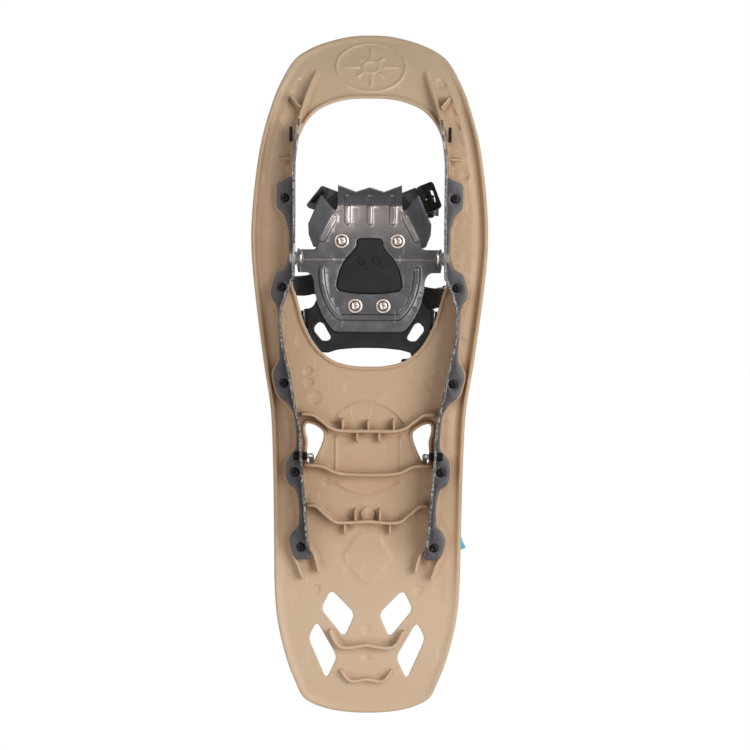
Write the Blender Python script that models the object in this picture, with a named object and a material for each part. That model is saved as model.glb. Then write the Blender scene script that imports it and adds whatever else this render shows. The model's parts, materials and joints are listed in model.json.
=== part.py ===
"""A moulded-deck snowshoe as separate pieces: deck, traction rails, crampon, binding, straps, heel lifter.

The frame: +X to the side, toe at -Y, tail at +Y, +Z up, the ground at Z = 0 under the rail teeth.
All sizes below are in millimetres; MM turns them into Blender's metres when a mesh is made.
"""

import math

import bmesh
import bpy
import numpy as np
from mathutils.geometry import delaunay_2d_cdt

MM = 0.001
CENTRE = (0, 4.25, 0)  # puts the middle of the whole object on the origin

# --- heights ---
FLANGE_LOW, FLANGE_TOP = 18.0, 20.0
RAIL_GAP = 0.3
DECK_LOW, DECK_TOP = 30.0, 33.0
RIM_LOW, GROOVE_LOW, SIDE_LOW = 24.5, 29.5, 27.5
PLATE_LOW, PLATE_THICK = 31.5, 2.0
PLATE_TOP = PLATE_LOW + PLATE_THICK
BASE_LOW = PLATE_TOP + 0.3
BASE_THICK = 3.5
BASE_TOP = BASE_LOW + BASE_THICK
# --- joints: places in (y, z) ---
PIVOT = (-94.7, 11.0)
LIFT = (66.5, 14.4)
HEEL = (-46.0, 52.0)
TOE_BUCKLE = (1, 44.7, -141.0, 68.0)
INSTEP_BUCKLE = (-1, 66.0, -74.0, 64.0)
LEVER_OUT = 5.6
WIRE = 2.1
CLIP_RADIUS = 3.3
# --- deck outline: half widths from toe to tail ---
HALF_OUTLINE = [(0, -286.5), (16, -285.6), (34, -281), (50, -274), (64.2, -262.8), (75.4, -241.1),
                (82.5, -220.2), (90, -189.7), (95.2, -150), (97.2, -111), (94.2, -71.3), (86.5, -12.3),
                (80.3, 27), (78.1, 66.4), (76.7, 125.4), (75.8, 174.6), (72.9, 204.1), (65.6, 233.7),
                (57.9, 253.6), (52.5, 264.5), (44, 270.5), (30, 275.2), (14, 277.5), (0, 278)]
FOOT_HOLE = [(0, -229), (22, -227.5), (41, -220.3), (51.6, -210), (57.4, -199), (60.2, -188), (63.6, -170),
             (63.6, -84), (60.0, -66), (57, -55), (52.4, -40), (42.6, -23), (29.5, -12), (14, -7.6),
             (0, -6.9)]
SIDE_HOLE = [(50.6, 40.4), (44.6, 41.2), (37.5, 46), (36.6, 51), (38.2, 57), (41.6, 65), (44.5, 70.5),
             (47.5, 73), (50.4, 68.5), (49.6, 55), (51.6, 46)]
TAIL_HOLES = [[(29.5, 176.3), (10, 196), (18.4, 215.7), (37.8, 192.3)],
              [(41, 202.5), (24.2, 231.7), (33, 250.4), (48, 216)]]
# --- rails: the blade's inner line and the flange's outer edge, right-hand side ---
BLADE_LINE = [(57.3, -209), (58.8, -192.6), (60.6, -176), (60.9, -160), (60.9, -86), (63, -76), (68.4, -61),
              (71, -50), (70.2, -30), (66.9, -13), (63.2, 2.4), (60.2, 20), (57.3, 33), (55.4, 41),
              (53.8, 63.4),
              (52.8, 80.5), (50.9, 101.6), (50.2, 111), (48, 135), (45.6, 148)]
BLADE_THICK = 2.0
BOSS_RADIUS, BOSS_BOTTOM, SCREW_HOLE = 4.5, 27.0, 2.1
FLANGE_EDGE = [(63, -162.6), (76, -156), (76, -137), (69.6, -130), (65.8, -118), (65.6, -97), (69.5, -86),
               (76.6, -82.5), (80.4, -68), (80.4, -64), (76, -57), (74.2, -52), (73.4, -41), (72.8, -12.3),
               (78, -1.6), (78.2, 2.5), (75.2, 14), (72.4, 19), (66.5, 23), (61, 31), (59.4, 38), (58.4, 50),
               (58.4, 60.5), (62.4, 65.4), (66.8, 71), (66.8, 84.2), (64.6, 90), (59, 93), (56.4, 101.3),
               (55.5, 112), (56, 123.4), (61.9, 130), (63.6, 134), (63.2, 139), (60.8, 147), (57.4, 151.2),
               (47, 151.2)]
RAIL_SCREWS = [(69.4, -144.2), (71.6, -71.3), (69.2, 7.2), (59.6, 79.7), (54.4, 141.2)]
PIN_Y = -197.0
TOOTH_PITCH, TOOTH_DEPTH = 12.4, 4.5
# --- ribs under the deck: centre line, width, crest height at both ends ---
RIB_WIDTH = 2.4
DRAFT = 0.4
RIM_STEPS = [0, 2.6, 5.5, 12]  # distances in from the edge where the rim's profile bends
FIN_CREST, WALL_CREST = 78, 20.3  # the nose fins run from the one height to the other
RIB_A = [(54, 32.5), (45.4, 33), (38, 38), (26, 45.4), (0, 46)]
RIB_B = [(51.5, 74), (37, 75.3), (24, 80.8), (0, 82)]
RIB_C = [(49, 107.5), (42.5, 107.6), (33.5, 115.3), (24, 121), (0, 120)]
TAIL_RIB_1 = [(30, 210.5), (21, 223.2), (0, 221.2)]
TAIL_RIB_2 = [(20.5, 243.1), (13.2, 251.3), (0, 249.7)]


# ---------------------------------------------------------------- helpers
def clear_scene():
    for obj in list(bpy.data.objects):
        bpy.data.objects.remove(obj)


def material(name, color, roughness, metallic=0.0):
    mat = bpy.data.materials.new(name)
    mat.use_nodes = True
    shader = mat.node_tree.nodes["Principled BSDF"]
    shader.inputs["Base Color"].default_value = (*color, 1.0)
    shader.inputs["Roughness"].default_value = roughness
    shader.inputs["Metallic"].default_value = metallic
    return mat


def add_piece(name, verts, faces, mat, origin=(0, 0, 0)):
    """One named object from points in millimetres, with its origin at a place in millimetres."""
    mesh = bpy.data.meshes.new(name)
    shift = np.array(origin, float)
    mesh.from_pydata(((np.array(verts, float) - shift) * MM).tolist(), [], [list(map(int, f)) for f in faces])
    mesh.materials.append(mat)
    obj = bpy.data.objects.new(name, mesh)
    obj.location = (shift + np.array(CENTRE)) * MM
    bpy.context.collection.objects.link(obj)
    mesh.shade_smooth()
    mesh.set_sharp_from_angle(angle=math.radians(35))
    return obj


def combine(obj, others, operation="UNION"):
    """Boolean the others into obj, apply it and remove them."""
    for other in others:
        mod = obj.modifiers.new(operation.lower(), "BOOLEAN")
        mod.operation, mod.solver, mod.object = operation, "EXACT", other
        bpy.context.view_layer.update()
        mesh = bpy.data.meshes.new_from_object(obj.evaluated_get(bpy.context.evaluated_depsgraph_get()))
        obj.modifiers.clear()
        obj.data = mesh
        bpy.data.objects.remove(other)
    return obj


def mirrored(points, side):
    return [(side * p[0], *p[1:]) for p in points]


def both_sides(half):
    """A closed or open line from its +X half, which starts and ends on the centre line."""
    return list(half) + [(-x, y) for x, y in reversed(half) if abs(x) > 1e-9]


def spline(points, step, closed=False):
    """Catmull-Rom through the points, sampled about every step."""
    pts = np.array(points, float)
    count = len(pts)
    out = []
    for i in range(count if closed else count - 1):
        if closed:
            p0, p1, p2, p3 = (pts[(i + k) % count] for k in (-1, 0, 1, 2))
        else:
            p0, p1, p2, p3 = pts[max(i - 1, 0)], pts[i], pts[i + 1], pts[min(i + 2, count - 1)]
        n = max(1, round(np.linalg.norm(p2 - p1) / step))
        for k in range(n):
            t = k / n
            out.append(0.5 * (2 * p1 + (p2 - p0) * t + (2 * p0 - 5 * p1 + 4 * p2 - p3) * t**2
                              + (3 * p1 - p0 - 3 * p2 + p3) * t**3))
    if not closed:
        out.append(pts[-1])
    return [tuple(map(float, p)) for p in out]


def rounded(points, radius, steps=3):
    """A closed outline with its corners rounded off."""
    pts = [np.array(p, float) for p in points]
    out = []
    for i, corner in enumerate(pts):
        before, after = pts[i - 1], pts[(i + 1) % len(pts)]
        cut = min(radius, 0.45 * np.linalg.norm(before - corner), 0.45 * np.linalg.norm(after - corner))
        a = corner + (before - corner) / np.linalg.norm(before - corner) * cut
        b = corner + (after - corner) / np.linalg.norm(after - corner) * cut
        for k in range(steps + 1):
            t = k / steps
            out.append(tuple((1 - t) ** 2 * a + 2 * t * (1 - t) * corner + t**2 * b))
    return out


def circle(x, y, radius, count=14):
    return [(x + radius * math.cos(2 * math.pi * k / count), y + radius * math.sin(2 * math.pi * k / count))
            for k in range(count)]


def band(line, half):
    """The closed outline at a distance on both sides of an open line."""
    pts = np.array(line, float)
    left, right = [], []
    for i, p in enumerate(pts):
        before = p - pts[i - 1] if i else pts[1] - p
        after = pts[i + 1] - p if i + 1 < len(pts) else before
        before, after = before / np.linalg.norm(before), after / np.linalg.norm(after)
        normal = np.array([-(before + after)[1], (before + after)[0]])
        normal /= np.linalg.norm(normal)
        reach = half / max(0.5, normal @ np.array([-after[1], after[0]]))
        end = -before * half if i == 0 else after * half if i + 1 == len(pts) else 0
        left.append(tuple(p + normal * reach + end))
        right.append(tuple(p - normal * reach + end))
    return left + right[::-1]


def shrink(outline, distance):
    """A closed outline moved inward (positive) by a distance; right for gentle outlines."""
    pts = np.array(outline, float)
    turn = np.sum(pts[:, 0] * np.roll(pts[:, 1], -1) - pts[:, 1] * np.roll(pts[:, 0], -1))
    along = np.roll(pts, -1, 0) - np.roll(pts, 1, 0)
    along /= np.linalg.norm(along, axis=1)[:, None]
    inward = np.stack([-along[:, 1], along[:, 0]], 1) * np.sign(turn)
    return [tuple(p) for p in pts + inward * distance]


def inside(points, outline):
    """Which points are inside a closed outline."""
    pts, poly = np.atleast_2d(points), np.array(outline, float)
    a, b = poly, np.roll(poly, -1, 0)
    crosses = (a[None, :, 1] > pts[:, None, 1]) != (b[None, :, 1] > pts[:, None, 1])
    with np.errstate(divide="ignore", invalid="ignore"):
        at = (b[:, 0] - a[:, 0]) * (pts[:, None, 1] - a[:, 1]) / (b[:, 1] - a[:, 1]) + a[:, 0]
    return (crosses & (pts[:, None, 0] < at)).sum(1) % 2 == 1


def distance(points, line, closed=True):
    """The distance from each point to a line of segments, and how far along the line it falls (0 to 1)."""
    pts, a = np.atleast_2d(points)[:, None, :], np.array(line, float)
    b = np.roll(a, -1, 0) if closed else a[1:]
    a = a if closed else a[:-1]
    length = np.linalg.norm(b - a, axis=1)
    t = np.clip(((pts - a) * (b - a)).sum(2) / length**2, 0, 1)
    gap = np.linalg.norm(pts - (a + t[..., None] * (b - a)), axis=2)
    nearest = gap.argmin(1)
    rows = np.arange(len(gap))
    start = np.concatenate([[0], np.cumsum(length)[:-1]])
    return gap[rows, nearest], (start + t * length)[rows, nearest] / length.sum()


def slab(outline, low, high, holes=(), lines=(), points=()):
    """A closed sheet over an outline with holes; low and high give the two surfaces' heights."""
    verts, edges = [], []
    for loop, closed in [(outline, True)] + [(h, True) for h in holes] + list(lines):
        first = len(verts)
        verts += [tuple(p) for p in loop]
        edges += [(first + k, first + k + 1) for k in range(len(loop) - 1)]
        if closed:
            edges.append((len(verts) - 1, first))
    verts += [tuple(p) for p in points]
    flat, _, tris, *_ = delaunay_2d_cdt(verts, edges, [], 0, 0.02)
    flat = np.array([tuple(v) for v in flat])
    tris = np.array([t for t in tris if len(t) == 3])
    corner = flat[tris]
    area = np.cross(corner[:, 1] - corner[:, 0], corner[:, 2] - corner[:, 0])
    tris[area < 0] = tris[area < 0][:, ::-1]
    middle = corner.mean(1)
    keep = inside(middle, outline) & (np.abs(area) > 1e-4)
    for hole in holes:
        keep &= ~inside(middle, hole)
    tris = tris[keep]
    used = np.unique(tris)
    number = np.full(len(flat), -1)
    number[used] = np.arange(len(used))
    flat, tris = flat[used], number[tris]
    count = len(flat)
    solid = np.concatenate([np.c_[flat, low(flat)], np.c_[flat, high(flat)]])
    directed = {(int(t[k]), int(t[(k + 1) % 3])) for t in tris for k in range(3)}
    walls = [(a, b, b + count, a + count) for a, b in sorted(directed) if (b, a) not in directed]
    faces = [tuple(t[::-1]) for t in tris] + [tuple(t + count) for t in tris] + walls
    return solid, faces


def level(z):
    return lambda p: np.full(len(p), float(z))


def fold(verts, region, at, along, angle, hinge_z):
    """Turns the points of a region beyond a bend line, on its left looking along it; positive is up."""
    at, along = np.array([*at, hinge_z], float), np.array([*along, 0.0]) / np.hypot(*along)
    out = np.array(verts, float)
    left = np.array([-along[1], along[0], 0.0])
    beyond = region & ((out - at) @ left > 0.05)
    rel = out[beyond] - at
    c, s = math.cos(math.radians(angle)), math.sin(math.radians(angle))
    turned = rel * c + np.cross(along, rel) * s + np.outer(rel @ along, along) * (1 - c)
    out[beyond] = at + turned
    return out


def sweep(sections):
    """A closed body through sections that all have the same number of points."""
    count = len(sections[0])
    verts = [tuple(p) for s in sections for p in s]
    faces = []
    for i in range(len(sections) - 1):
        for k in range(count):
            a, b = i * count + k, i * count + (k + 1) % count
            faces.append((a, b, b + count, a + count))
    faces.append(tuple(range(count))[::-1])
    faces.append(tuple(range(len(verts) - count, len(verts))))
    return outward(verts, faces)


def outward(verts, faces):
    """The same body with its faces pointing out."""
    pts = np.array(verts, float)
    volume = 0.0
    for f in faces:
        for k in range(1, len(f) - 1):
            volume += pts[f[0]] @ np.cross(pts[f[k]], pts[f[k + 1]])
    return pts, (faces if volume > 0 else [tuple(f)[::-1] for f in faces])


def strap(path, width_dir, width, thick):
    """A flat strap along a path; width_dir is its breadth's direction, or one for each point."""
    pts = np.array(path, float)
    sections = []
    for i, p in enumerate(pts):
        along = pts[min(i + 1, len(pts) - 1)] - pts[max(i - 1, 0)]
        along /= np.linalg.norm(along)
        wide = np.array(width_dir[i] if isinstance(width_dir, list) else width_dir, float)
        wide -= along * (wide @ along)
        wide /= np.linalg.norm(wide)
        out = np.cross(along, wide)
        w, t = wide * width / 2, out * thick / 2
        sections.append([p - w - t, p + w - t, p + w + t, p - w + t])
    return sweep(sections)


def tube(path, radius, count=10):
    """A round bar along a path of points."""
    pts = np.array(path, float)
    sections = []
    side = np.array([0.0, 0.0, 1.0])
    for i, p in enumerate(pts):
        along = pts[min(i + 1, len(pts) - 1)] - pts[max(i - 1, 0)]
        along /= np.linalg.norm(along)
        side = side - along * (side @ along)
        side /= np.linalg.norm(side)
        other = np.cross(along, side)
        sections.append([p + radius * (math.cos(a) * side + math.sin(a) * other)
                         for a in np.arange(count) * 2 * math.pi / count])
    return sweep(sections)


def turned(profile, place, axis, count=14):
    """A solid of revolution: (distance along the axis, radius) pairs from a place."""
    place, axis = np.array(place, float), np.array(axis, float)
    side = np.array([0, 0, 1.0]) if abs(axis[2]) < 0.5 else np.array([1.0, 0, 0])
    other = np.cross(axis, side)
    sections = [[place + axis * h + r * (math.cos(a) * side + math.sin(a) * other)
                 for a in np.arange(count) * 2 * math.pi / count] for h, r in profile]
    return sweep(sections)


def ring(place, axis, outer, inner, height, count=14):
    """A flat washer or a bush standing on a place along an axis."""
    place, axis = np.array(place, float), np.array(axis, float)
    side = np.array([0, 0, 1.0]) if abs(axis[2]) < 0.5 else np.array([1.0, 0, 0])
    other = np.cross(axis, side)
    verts = []
    for h, r in [(0, outer), (height, outer), (height, inner), (0, inner)]:
        verts += [place + axis * h + r * (math.cos(a) * side + math.sin(a) * other)
                  for a in np.arange(count) * 2 * math.pi / count]
    faces = [(i * count + k, i * count + (k + 1) % count, (i + 1) % 4 * count + (k + 1) % count,
              (i + 1) % 4 * count + k) for i in range(4) for k in range(count)]
    return outward(verts, faces)


# ---------------------------------------------------------------- deck
def nose_rise(y):
    u = np.maximum(0.0, -150.0 - y)
    return 0.0022 * u**2 + 1.05e-5 * u**3


def tail_rise(y):
    return 0.0012 * np.maximum(0.0, y - 205.0) ** 2


def ramp(value, start, end):
    return np.clip((value - start) / (end - start), 0.0, 1.0)


def blade_x(y):
    line = np.array(BLADE_LINE)
    return np.interp(y, line[:, 1], line[:, 0])


def deck_outline():
    half = spline(HALF_OUTLINE[:19], 9) + HALF_OUTLINE[19:]
    return both_sides(half)


def foot_hole():
    return both_sides(spline(FOOT_HOLE, 8))


def deck_holes():
    holes = [foot_hole()]
    for side in (1, -1):
        holes.append(mirrored(spline(SIDE_HOLE, 4, closed=True), side))
        holes += [mirrored(rounded(h, 5), side) for h in TAIL_HOLES]
    return holes


def deck_ribs():
    """(line, half width, crest height at its start, at its end) for each rib under the deck."""
    ribs = []
    for rib, crest in ((RIB_A, 20), (RIB_B, 20), (RIB_C, 20), (TAIL_RIB_1, 22), (TAIL_RIB_2, 27)):
        ribs.append((both_sides(spline(rib, 6)), RIB_WIDTH / 2, crest, crest))
    for x, y0, y1 in ((0, 38, 45), (21, 37, 45), (-21, 37, 45), (9, 47, 54), (-9, 47, 54),
                      (10, 110.5, 119.5), (-10, 110.5, 119.5), (18.5, 122.5, 129.5), (-18.5, 122.5, 129.5)):
        ribs.append(([(x, y0), (x, y1)], 0.9, 22, 22))
    for side in (1, -1):
        wall = spline([(x + 3.3, y) for x, y in BLADE_LINE if y < 140] + [(43, 148.5), (39.8, 160.6)], 9)
        ribs.append((mirrored([p for p in wall if p[1] > -188], side), RIB_WIDTH / 2, WALL_CREST, WALL_CREST))
        outer = FLANGE_EDGE[:-2] + [(57, 155), (52.8, 166.3)]
        ribs.append((mirrored(outer, side), RIB_WIDTH / 2, WALL_CREST, WALL_CREST))
        fin = spline([(43.7, -256.5), (51, -235), (57.6, -213), (62.4, -189.5)], 8)
        ribs.append((mirrored(fin, side), 1.4, FIN_CREST, WALL_CREST))
        ribs.append((mirrored([(65.3, -229), (58.4, -220.5)], side), 0.9, 40, 32))
        ribs.append((mirrored([(73.8, -177), (66, -177)], side), 0.9, 26, 24))
    return ribs


def deck_skin(points):
    """The deck's underside and top without its ribs."""
    x, y = np.abs(points[:, 0]), points[:, 1]
    edge = distance(points, deck_outline())[0]
    beside = ramp(x - blade_x(y), 1.0, 6.0) * ramp(y, -215, -175) * (1 - ramp(y, 150, 185))
    base = DECK_LOW + (SIDE_LOW - DECK_LOW) * beside
    rim = ramp(y, -262, -200) * (1 - ramp(y, 130, 200))
    thick = DECK_TOP - DECK_LOW
    low_rim = np.interp(edge, RIM_STEPS, [RIM_LOW + 1, RIM_LOW, GROOVE_LOW, SIDE_LOW])
    top_rim = np.interp(edge, RIM_STEPS, [28, 31.2, 32.5, SIDE_LOW + thick])
    in_rim = edge < RIM_STEPS[-1]
    low_rim, top_rim = np.where(in_rim, low_rim, base), np.where(in_rim, top_rim, base + thick)
    rise = nose_rise(y) + tail_rise(y)
    return base + rim * (low_rim - base) + rise, base + thick + rim * (top_rim - base - thick) + rise


def deck_low(points):
    low = deck_skin(points)[0]
    for line, half, start, end in deck_ribs():
        along = distance(points, line, closed=False)[1]
        crest = start + (end - start) * (along if start < FIN_CREST else np.sqrt(along))
        low = np.where(inside(points, band(line, half + DRAFT / 2)), np.minimum(low, crest), low)
    for side in (1, -1):
        for x, y in RAIL_SCREWS:
            low = np.where(inside(points, circle(side * x, y, BOSS_RADIUS)), WALL_CREST, low)
            low = np.where(inside(points, circle(side * x, y, SCREW_HOLE)), BOSS_BOTTOM, low)
    return low


def deck(mat):
    outline = deck_outline()
    lines = [(shrink(outline, d), True) for d in RIM_STEPS[1:]]
    for line, half, *_ in deck_ribs():
        lines += [(band(line, half), True), (band(line, half + DRAFT), True)]
    for side in (1, -1):
        for x, y in RAIL_SCREWS:
            lines += [(circle(side * x, y, r, 10), True) for r in (1.9, 2.3, 4.3, 4.7)]
    grid = [(x + (row % 2) * 6, -280 + row * 13) for row in range(44) for x in range(-96, 97, 13)]
    holes = deck_holes()
    grid = [p for p, ok in zip(grid, inside(grid, shrink(outline, 14))) if ok]
    grid = [p for p in grid if not any(inside([p], h)[0] for h in holes)]
    verts, faces = slab(outline, deck_low, lambda p: deck_skin(p)[1], holes, lines, grid)
    obj = add_piece("deck", verts, faces, mat)
    bm = bmesh.new()
    bm.from_mesh(obj.data)
    bmesh.ops.dissolve_limit(bm, angle_limit=math.radians(1.0), verts=bm.verts, edges=bm.edges)
    bmesh.ops.triangulate(bm, faces=bm.faces)
    bm.to_mesh(obj.data)
    bm.free()
    return obj


# ---------------------------------------------------------------- rails and their hardware
def rail(name, side, mat):
    """The toothed blade and the tabbed flange as one bent steel strip."""
    line = spline(BLADE_LINE, 3.1)
    length = 0.0
    sections = []
    for i, (x, y) in enumerate(line):
        if i:
            length += math.dist(line[i - 1], (x, y))
        tooth = TOOTH_DEPTH * abs((length / TOOTH_PITCH) % 1 * 2 - 1)
        near_pivot = abs(y - PIVOT[0]) < 12
        lift = 18.5 * (1 - ramp(y, -209, -178)) + 14 * ramp(y, 132, 148)
        low = (0.0 if near_pivot else tooth) + float(lift)
        low = min(low, FLANGE_TOP - 1.5)
        sections.append([(x, y, low), (x + BLADE_THICK, y, low), (x + BLADE_THICK, y, FLANGE_TOP),
                         (x, y, FLANGE_TOP)])
    verts, faces = outward(*sweep(mirror_sections(sections, side)))
    obj = add_piece(name, verts, faces, mat)
    inner = [(x + 0.6, y) for x, y in spline([p for p in BLADE_LINE if p[1] > -162 and p[1] < 136], 6)]
    edge = [(61.6, -162.6)] + FLANGE_EDGE + [(46.8, 146)]
    outline = mirrored(edge + inner[::-1], side)
    holes = [circle(side * x, y, SCREW_HOLE) for x, y in RAIL_SCREWS]
    flange = add_piece(name + "_flange", *slab(outline, level(FLANGE_LOW), level(FLANGE_TOP), holes), mat)
    combine(obj, [flange])
    px, ly = blade_x(PIVOT[0]), blade_x(LIFT[0])
    bores = [((side * (px - 3), *PIVOT), 4.1), ((side * (ly - 4), *LIFT), CLIP_RADIUS + 0.3)]
    for place, radius in bores:
        cutter = add_piece("cutter", *turned([(0, radius), (12, radius)], place, (side, 0, 0)), mat)
        combine(obj, [cutter], "DIFFERENCE")
    obj.data.materials.clear()
    obj.data.materials.append(mat)
    return obj


def mirror_sections(sections, side):
    return [[(side * x, y, z) for x, y, z in s] for s in sections]


def rail_screw(name, x, y, mat):
    profile = [(-1.5, 1.3), (-1.5, 2.4), (-0.9, 3.3), (-0.3, 3.3), (-0.3, 1.7), (7.5, 1.7), (8.5, 0.8)]
    return add_piece(name, *turned(profile, (x, y, FLANGE_LOW), (0, 0, 1), 12), mat, (x, y, FLANGE_LOW))


def front_pin(name, side, mat):
    """A black clip over the deck's fin and the blade's front end."""
    x = side * 65.2
    corners = [(x - 1.3, PIN_Y - 6), (x + 1.3, PIN_Y - 6), (x + 1.3, PIN_Y + 6), (x - 1.3, PIN_Y + 6)]
    outline = rounded(corners, 0.8)
    return add_piece(name, *slab(outline, level(20.6), level(29)), mat)


def pivot_rivet(name, side, mat):
    x = side * blade_x(PIVOT[0])
    profile = [(-7.2, 4.2), (-6.4, 6.3), (-4.6, 6.3), (-4.6, 3.7), (-1.6, 3.7), (-1.6, 5.4),
               (-0.3, 5.4), (-0.3, 3.7), (2.4, 3.7), (2.4, 5.6), (3.6, 5.6), (4.4, 4)]
    return add_piece(name, *turned(profile, (x, *PIVOT), (side, 0, 0), 18), mat, (x, *PIVOT))


def lifter_clip(name, side, mat):
    """A bush through the blade; the lifter's wire turns in it."""
    x = side * (blade_x(LIFT[0]) - 4.0)
    return add_piece(name, *ring((x, *LIFT), (side, 0, 0), CLIP_RADIUS, WIRE + 0.35, 11.5), mat, (x, *LIFT))


# ---------------------------------------------------------------- crampon and binding base
CLAW_Y, CLAW_ANGLE = -139.1, 66.5
FIN_AT, FIN_ALONG, FIN_ANGLE = (27.5, -134.5), (-0.46, -0.888), 54.0
EAR_X = 57.0
PLATE_HALF = [(0, CLAW_Y - 30), (11.5, CLAW_Y - 22), (26, CLAW_Y - 34), (26.5, CLAW_Y), (27, -136.8),
              (27.5, -134.5), (32.8, -137.5), (48.3, -150.9), (57.6, -127.0), (54.6, -116.9), (46.5, -105.3),
              (43.1, -104.3), (46, -103), (EAR_X, -103), (75, -103), (82, -101), (85.5, -94.7), (82, -88.4),
              (75, -86.4), (EAR_X, -84), (51, -84), (47.8, -82), (45.7, -77.5), (44.8, -68), (42.8, -59.5),
              (39.7, -51.5), (35.6, -44.5), (31.4, -38.7), (28.9, -36.1), (25, -35.6), (0, -35.4)]
WINDOW_HALF = [(0, -112.5), (9, -112.3), (11, -110), (11, -105.5), (15, -100.5), (20.5, -94.5), (24.5, -86.5),
               (27, -77), (27.3, -72), (25.5, -69), (14, -67), (0, -66.3)]
BASE_RIVETS = [(23, -109.9), (-23, -109.9), (11.5, -56.6), (-11.5, -56.6)]
PAD_STUDS = [(6.2, -94), (-6.2, -94)]
WING_FOOT, WING_ALONG = (25.0, -149.0), (0.75, 0.662)
WING_ANGLE = {1: 22.0, -1: 57.0}  # the right wing lies flatter than the left one
WING_TIPS = {1: [(50.9, -160.9), (52.9, -159.9), (59.8, -139.3), (49.2, -133.7)],
             -1: [(46, -163.7), (56.7, -143.8)]}
SLOT_AT = {1: (12.5, 13.0), -1: (14.8, 15.0)}  # along the wing's foot and out from it
WING_EYE = [(49.7, -153.4), (52.4, -154.1), (55.3, -143.4), (52.6, -142.7)]
LUG_X = 50.5
BASE_FRONT = [(0, -145), (22, -147), WING_FOOT]
BASE_REAR = [(42, -134), (43.5, -108), (45.5, -100), (45.5, -84), (42.5, -74), (42.5, -64), (46, -56),
             (LUG_X, -54), (69, -54), (73, -50), (73, -42), (69, -38), (LUG_X, -38), (49.5, -30), (45, -23)]
BASE_HEEL = {1: [(44, -16), (41.5, -10.6), (38.5, -9.6), (26.5, -9.6), (26.5, -13.6), (34.6, -13.6),
                 (35, -18.2)],
             -1: [(40, -18.6), (34, -17.8)]}  # the right arm ends in a short tab turned inwards
BASE_TAIL = [(26, -20.6), (12, -22), (0, -22.2)]
BASE_SLOT = [(45, -39.5), (41, -43.5), (37.5, -42), (31, -30.5), (33.5, -28), (38.5, -28), (45, -36)]


def crampon_plate(mat):
    """The steel plate, cut flat and then folded: front claw, two side fins, two ears."""
    holes = [both_sides(WINDOW_HALF)] + [circle(x, y, 2.7) for x, y in BASE_RIVETS]
    ear_hole = EAR_X + PLATE_LOW - PIVOT[1]
    holes += [circle(side * ear_hole, PIVOT[0], 4.1) for side in (1, -1)]
    lines = [([(-27, CLAW_Y), (27, CLAW_Y)], False)]
    for side in (1, -1):
        lines.append((mirrored([FIN_AT, (43.1, -104.4)], side), False))
        lines.append((mirrored([(EAR_X, -103.5), (EAR_X, -83.5)], side), False))
    flat, faces = slab(both_sides(PLATE_HALF), level(PLATE_LOW), level(PLATE_TOP), holes, lines)
    x, y = flat[:, 0], flat[:, 1]
    verts = fold(flat, abs(x) < 26.8, (0, CLAW_Y), (-1, 0), -CLAW_ANGLE, PLATE_LOW)
    for side in (1, -1):
        fin = (side * x > 27.2) & (y < -104)
        along = FIN_ALONG if side == 1 else (FIN_ALONG[0], -FIN_ALONG[1])
        verts = fold(verts, fin, mirrored([FIN_AT], side)[0], along, -FIN_ANGLE, PLATE_LOW)
        verts = fold(verts, side * x > EAR_X, (side * EAR_X, 0), (0, -side), -90, PLATE_LOW)
    return add_piece("crampon_plate", verts, faces, mat, (0, *PIVOT))


def base_outline():
    """The platform's flat outline; its two wings differ."""
    right, left = (BASE_FRONT + WING_TIPS[side] + BASE_REAR + BASE_HEEL[side] + BASE_TAIL for side in (1, -1))
    return right + [(-x, y) for x, y in reversed(left) if x]


def wing_flat(along, out):
    """A point of the right-hand wing before it's folded: along its foot and out from it."""
    a = np.array(WING_ALONG)
    return np.array(WING_FOOT) + a * along + np.array([a[1], -a[0]]) * out


def wing_place(side, along, out, above):
    """A point of the folded wing: along its foot, up its face, and off its inner face."""
    a = np.array([*WING_ALONG, 0.0])
    n = np.array([a[1], -a[0], 0.0])
    angle = math.radians(WING_ANGLE[side])
    face = n * math.cos(angle) + np.array([0, 0, math.sin(angle)])
    inward = -n * math.sin(angle) + np.array([0, 0, math.cos(angle)])
    p = np.array([*WING_FOOT, BASE_TOP]) + a * along + face * out + inward * above
    return (side * p[0], p[1], p[2])


def binding_base(mat):
    """The moulded platform with its front wings and its rear lugs folded up."""
    slot_dir, slot_out = np.array([0.62, 0.785]), np.array([0.785, -0.62])
    slot_corners = ((-6.9, -2.2), (6.9, -2.2), (6.9, 2.2), (-6.9, 2.2))
    lug_hole = LUG_X + HEEL[1] - BASE_TOP
    holes = [circle(x, y, 2.7) for x, y in BASE_RIVETS] + [circle(x, y, 1.9) for x, y in PAD_STUDS]
    holes.append(WING_EYE)
    lines = []
    for side in (1, -1):
        slot = [tuple(wing_flat(*SLOT_AT[side]) + slot_dir * a + slot_out * b) for a, b in slot_corners]
        holes += [mirrored(rounded(BASE_SLOT, 1.5, 2), side), mirrored(slot, side),
                  circle(side * lug_hole, HEEL[0], 2.7), circle(*STRAP_RIVET[side], 1.9)]
        lines.append((mirrored([WING_FOOT, (42, -134)], side), False))
        lines.append((mirrored([(LUG_X, -54.5), (LUG_X, -37.5)], side), False))
    flat, faces = slab(base_outline(), level(BASE_LOW), level(BASE_TOP), holes, lines)
    x, y = flat[:, 0], flat[:, 1]
    verts = flat
    for side in (1, -1):
        along = (-WING_ALONG[0], -WING_ALONG[1]) if side == 1 else (-WING_ALONG[0], WING_ALONG[1])
        foot = mirrored([WING_FOOT], side)[0]
        verts = fold(verts, (side * x > 24) & (y < -133.9), foot, along, WING_ANGLE[side], BASE_TOP)
        verts = fold(verts, (side * x > LUG_X) & (y > -60), (side * LUG_X, 0), (0, -side), 90, BASE_TOP)
    return add_piece("binding_base", verts, faces, mat, (0, *PIVOT))


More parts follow.
